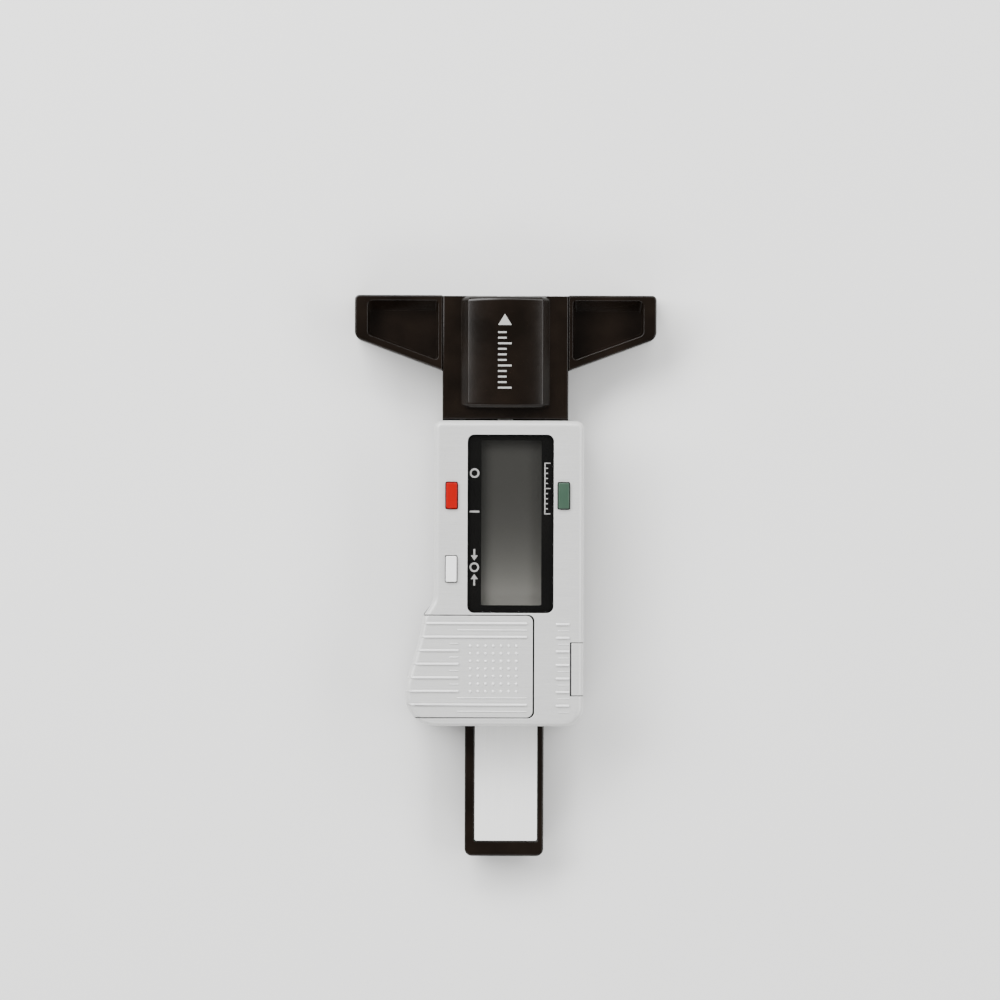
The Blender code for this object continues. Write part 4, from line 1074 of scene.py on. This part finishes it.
def window_signs():
    """Generic signs: off, on, zero between two arrows, and a scale for the unit."""
    low, high = PANE_LOW.z + SIGN_LOW, PANE_LOW.z + SIGN_HIGH
    middle, size, stroke, apart = -6.05, 0.95, 0.34, 0.02
    off_y, on_y, zero_y = 20.4, 12.8, 1.8
    arrow_tip, arrow_back, arrow_end, arrow_half = 1.35, 2.35, 3.6, 0.7
    drawn = [ring(middle, y, size, stroke, low, high) for y in (off_y, zero_y)]
    drawn.append(block((middle - size, on_y - stroke / 2, low), (middle + size, on_y + stroke / 2, high)))
    for side in (-1, 1):
        tip, back, end = (zero_y + side * reach for reach in (arrow_tip, arrow_back, arrow_end))
        wings = [Vector((middle + turn * side * arrow_half, back)) for turn in (-1, 1)]
        drawn.append(plate([Vector((middle, tip)), *wings], low, high))
        near, far = sorted((back + side * apart, end))
        drawn.append(block((middle - stroke / 2, near, low), (middle + stroke / 2, far, high)))
    left, right, low_y, high_y, steps = 7.75, 8.95, 12.3, 22.5, 10
    spine, line, shorter = 0.22, 0.2, 0.5
    drawn.append(block((left, low_y, low), (left + spine, high_y, high)))
    for step in range(steps + 1):
        y = low_y + (high_y - low_y - line) * step / steps
        reach = right if step % 5 == 0 else right - shorter
        drawn.append(block((left + spine + apart, y, low), (reach, y + line, high)))
    return together(drawn)


def window():
    """The clear pane, the black border printed behind it and the signs on the border."""
    low, high = PANE_LOW, PANE_HIGH
    corners = box_corners(*low.xy, *high.xy, WINDOW_CORNER - GAP)
    clear_left, clear_bottom, clear_right, clear_top, clear_corner = -4.7, -5.7, 7.2, 26.9, 0.3
    view = rectangle(clear_left, clear_bottom, clear_right, clear_top, clear_corner, 3)
    border = plate(rounded(corners), low.z, low.z + BORDER_TOP, list(reversed(view)))
    settle(border, "window_border", "body", BORDER)
    settle(window_signs(), "window_signs", "body", WHITE_INK)
    pane_round = 0.12
    pane = softened(corners, low.z + PANE_START, high.z, 0, pane_round, 3)
    settle(pane, "window_pane", "body", PANE, None, 0, ["lcd_window"])


# ---------------------------------------------------------------- beam


def sliding_bar():
    """The beam, with a bed for its scale and a slot for the probe, and the foil label on the scale."""
    low, high = BEAM_LOW, BEAM_HIGH
    head_round, tail_round, back_round, front_round, label_corner = 0.9, 1.5, 0.35, 0.4, 0.4
    head = [(high.x, high.y, head_round), (low.x, high.y, head_round)]
    tail = [(low.x, low.y, tail_round), (high.x, low.y, tail_round)]
    solid = softened(head + tail, low.z, high.z, back_round, front_round)
    room = Vector((GAP, GAP))
    bed = rectangle(*(LABEL_LOW.xy - room), *(LABEL_HIGH.xy + room), label_corner, 4)
    half_slot = PROBE_HIGH.x + GAP
    cut(
        solid,
        plate(bed, SCALE_BED, high.z + 1),
        block((-half_slot, PROBE_LOW.y - GAP, PROBE_LOW.z - SEAT), (half_slot, high.y + 1, high.z + 1)),
    )
    settle(solid, "sliding_bar", "beam", BLACK, SATIN, 0.1, ["beam"])
    label_round = 0.04
    corners = box_corners(*LABEL_LOW.xy, *LABEL_HIGH.xy, label_corner)
    label = softened(corners, LABEL_LOW.z, LABEL_HIGH.z, 0, label_round, 2, 4)
    settle(label, "foil_label", "beam", FOIL, None, 0, ["scale_label"])


# ---------------------------------------------------------------- CAD nodes that stay


def dress(finish, edge, *nodes):
    """Gives CAD nodes their material and slightly rounded edges."""
    for name in nodes:
        node = frame["nodes"][name]
        node.data.materials.clear()
        node.data.materials.append(finish)
        weld = node.modifiers.new("weld", "WELD")
        weld.merge_threshold = 2 * SAME_POINT
        flats = node.modifiers.new("flats", "DECIMATE")
        flats.decimate_type = "DISSOLVE"
        flats.angle_limit = math.radians(1)
        ease(node, edge)


def screws(kind):
    return [f"{kind}_screw_{index}" for index in range(1, 5)]


frame_moulding()
stem_ridge()
stem_mark()
housing_shell()
battery_cover()
port_slide()
button_caps()
window()
sliding_bar()
dress(ZINC, 0.08, *screws("housing"), *screws("stem"), *screws("board"), "crystal", "stop_pin")
dress(ZINC, 0.04, "probe_rivet_1", "probe_rivet_2", "negative_contact", "positive_contact")
dress(NICKEL, 0.12, "button_cell")
dress(BRUSHED, 0.12, "probe")
dress(BRUSHED, 0.03, "gib_spring")
dress(BOARD, 0.05, "main_board", "scale_board")
dress(DISPLAY, 0.05, "lcd_panel")
dress(STRIPES, 0.1, "left_display_connector", "right_display_connector")
dress(EPOXY, 0, "chip")
dress(SOCKET, 0.1, "power_switch", "zero_switch", "unit_switch", "data_socket")

for leftover in list(helpers.objects):
    bpy.data.objects.remove(leftover, do_unlink=True)


# ---------------------------------------------------------------- floor, light and camera


def floor():
    """A pale sheet of paper, just clear of the gauge's back."""
    half_side, below = 2000, 0.2
    bm = bmesh.new()
    bmesh.ops.create_grid(bm, x_segments=1, y_segments=1, size=half_side * MM)
    made = bpy.data.objects.new("floor", mesh_of(bm))
    made.location.z = -below * MM
    paper = Finish("pale_floor")
    cloud = paper.noise(40.0, 2.0)
    paper.color(paper.mixed(cloud, (0.86, 0.86, 0.85), (0.89, 0.89, 0.88)))
    paper.set(roughness=0.9)
    made.data.materials.append(paper.material)
    bpy.context.scene.collection.objects.link(made)


def softbox(name, place, size, power):
    """An area lamp that faces the gauge, its place and size in metres and its power in watts."""
    lamp = bpy.data.lights.new(name, "AREA")
    lamp.shape = "RECTANGLE"
    lamp.size, lamp.size_y = size
    lamp.energy = power
    obj = bpy.data.objects.new(name, lamp)
    obj.location = place
    obj.rotation_mode = "QUATERNION"
    obj.rotation_quaternion = (-Vector(place)).to_track_quat("-Z", "Y")
    bpy.context.scene.collection.objects.link(obj)


def lights():
    """Four low softboxes round the gauge, the strongest at its upper left, and a dim even sky."""
    softbox("key_softbox", (-0.46, 0.42, 0.47), (0.9, 0.35), 13)
    softbox("right_softbox", (0.62, 0.05, 0.44), (0.9, 0.25), 5.6)
    softbox("far_softbox", (0.12, 0.62, 0.44), (0.9, 0.25), 4.5)
    softbox("near_softbox", (-0.1, -0.62, 0.44), (0.9, 0.25), 4.6)
    world = bpy.data.worlds.new("studio")
    world.use_nodes = True
    world.node_tree.nodes["Background"].inputs["Color"].default_value = (1, 1, 1, 1)
    world.node_tree.nodes["Background"].inputs["Strength"].default_value = 0.16
    bpy.context.scene.world = world


def camera():
    """Straight above, with a long lens, and the gauge below the middle of the view."""
    lens, sensor, view_width, plane = 200.0, 36.0, 198.7, WING_TOP
    aim_x, aim_y, lean = -1.01, 15.1, 0.2
    data = bpy.data.cameras.new("camera")
    data.lens = lens
    data.sensor_width = sensor
    data.clip_start, data.clip_end = 0.05, 20
    obj = bpy.data.objects.new("camera", data)
    obj.location = Vector((aim_x, aim_y, plane + view_width * lens / sensor)) * MM
    obj.rotation_euler = (0, 0, math.radians(lean))
    bpy.context.scene.collection.objects.link(obj)
    bpy.context.scene.camera = obj


floor()
lights()
camera()
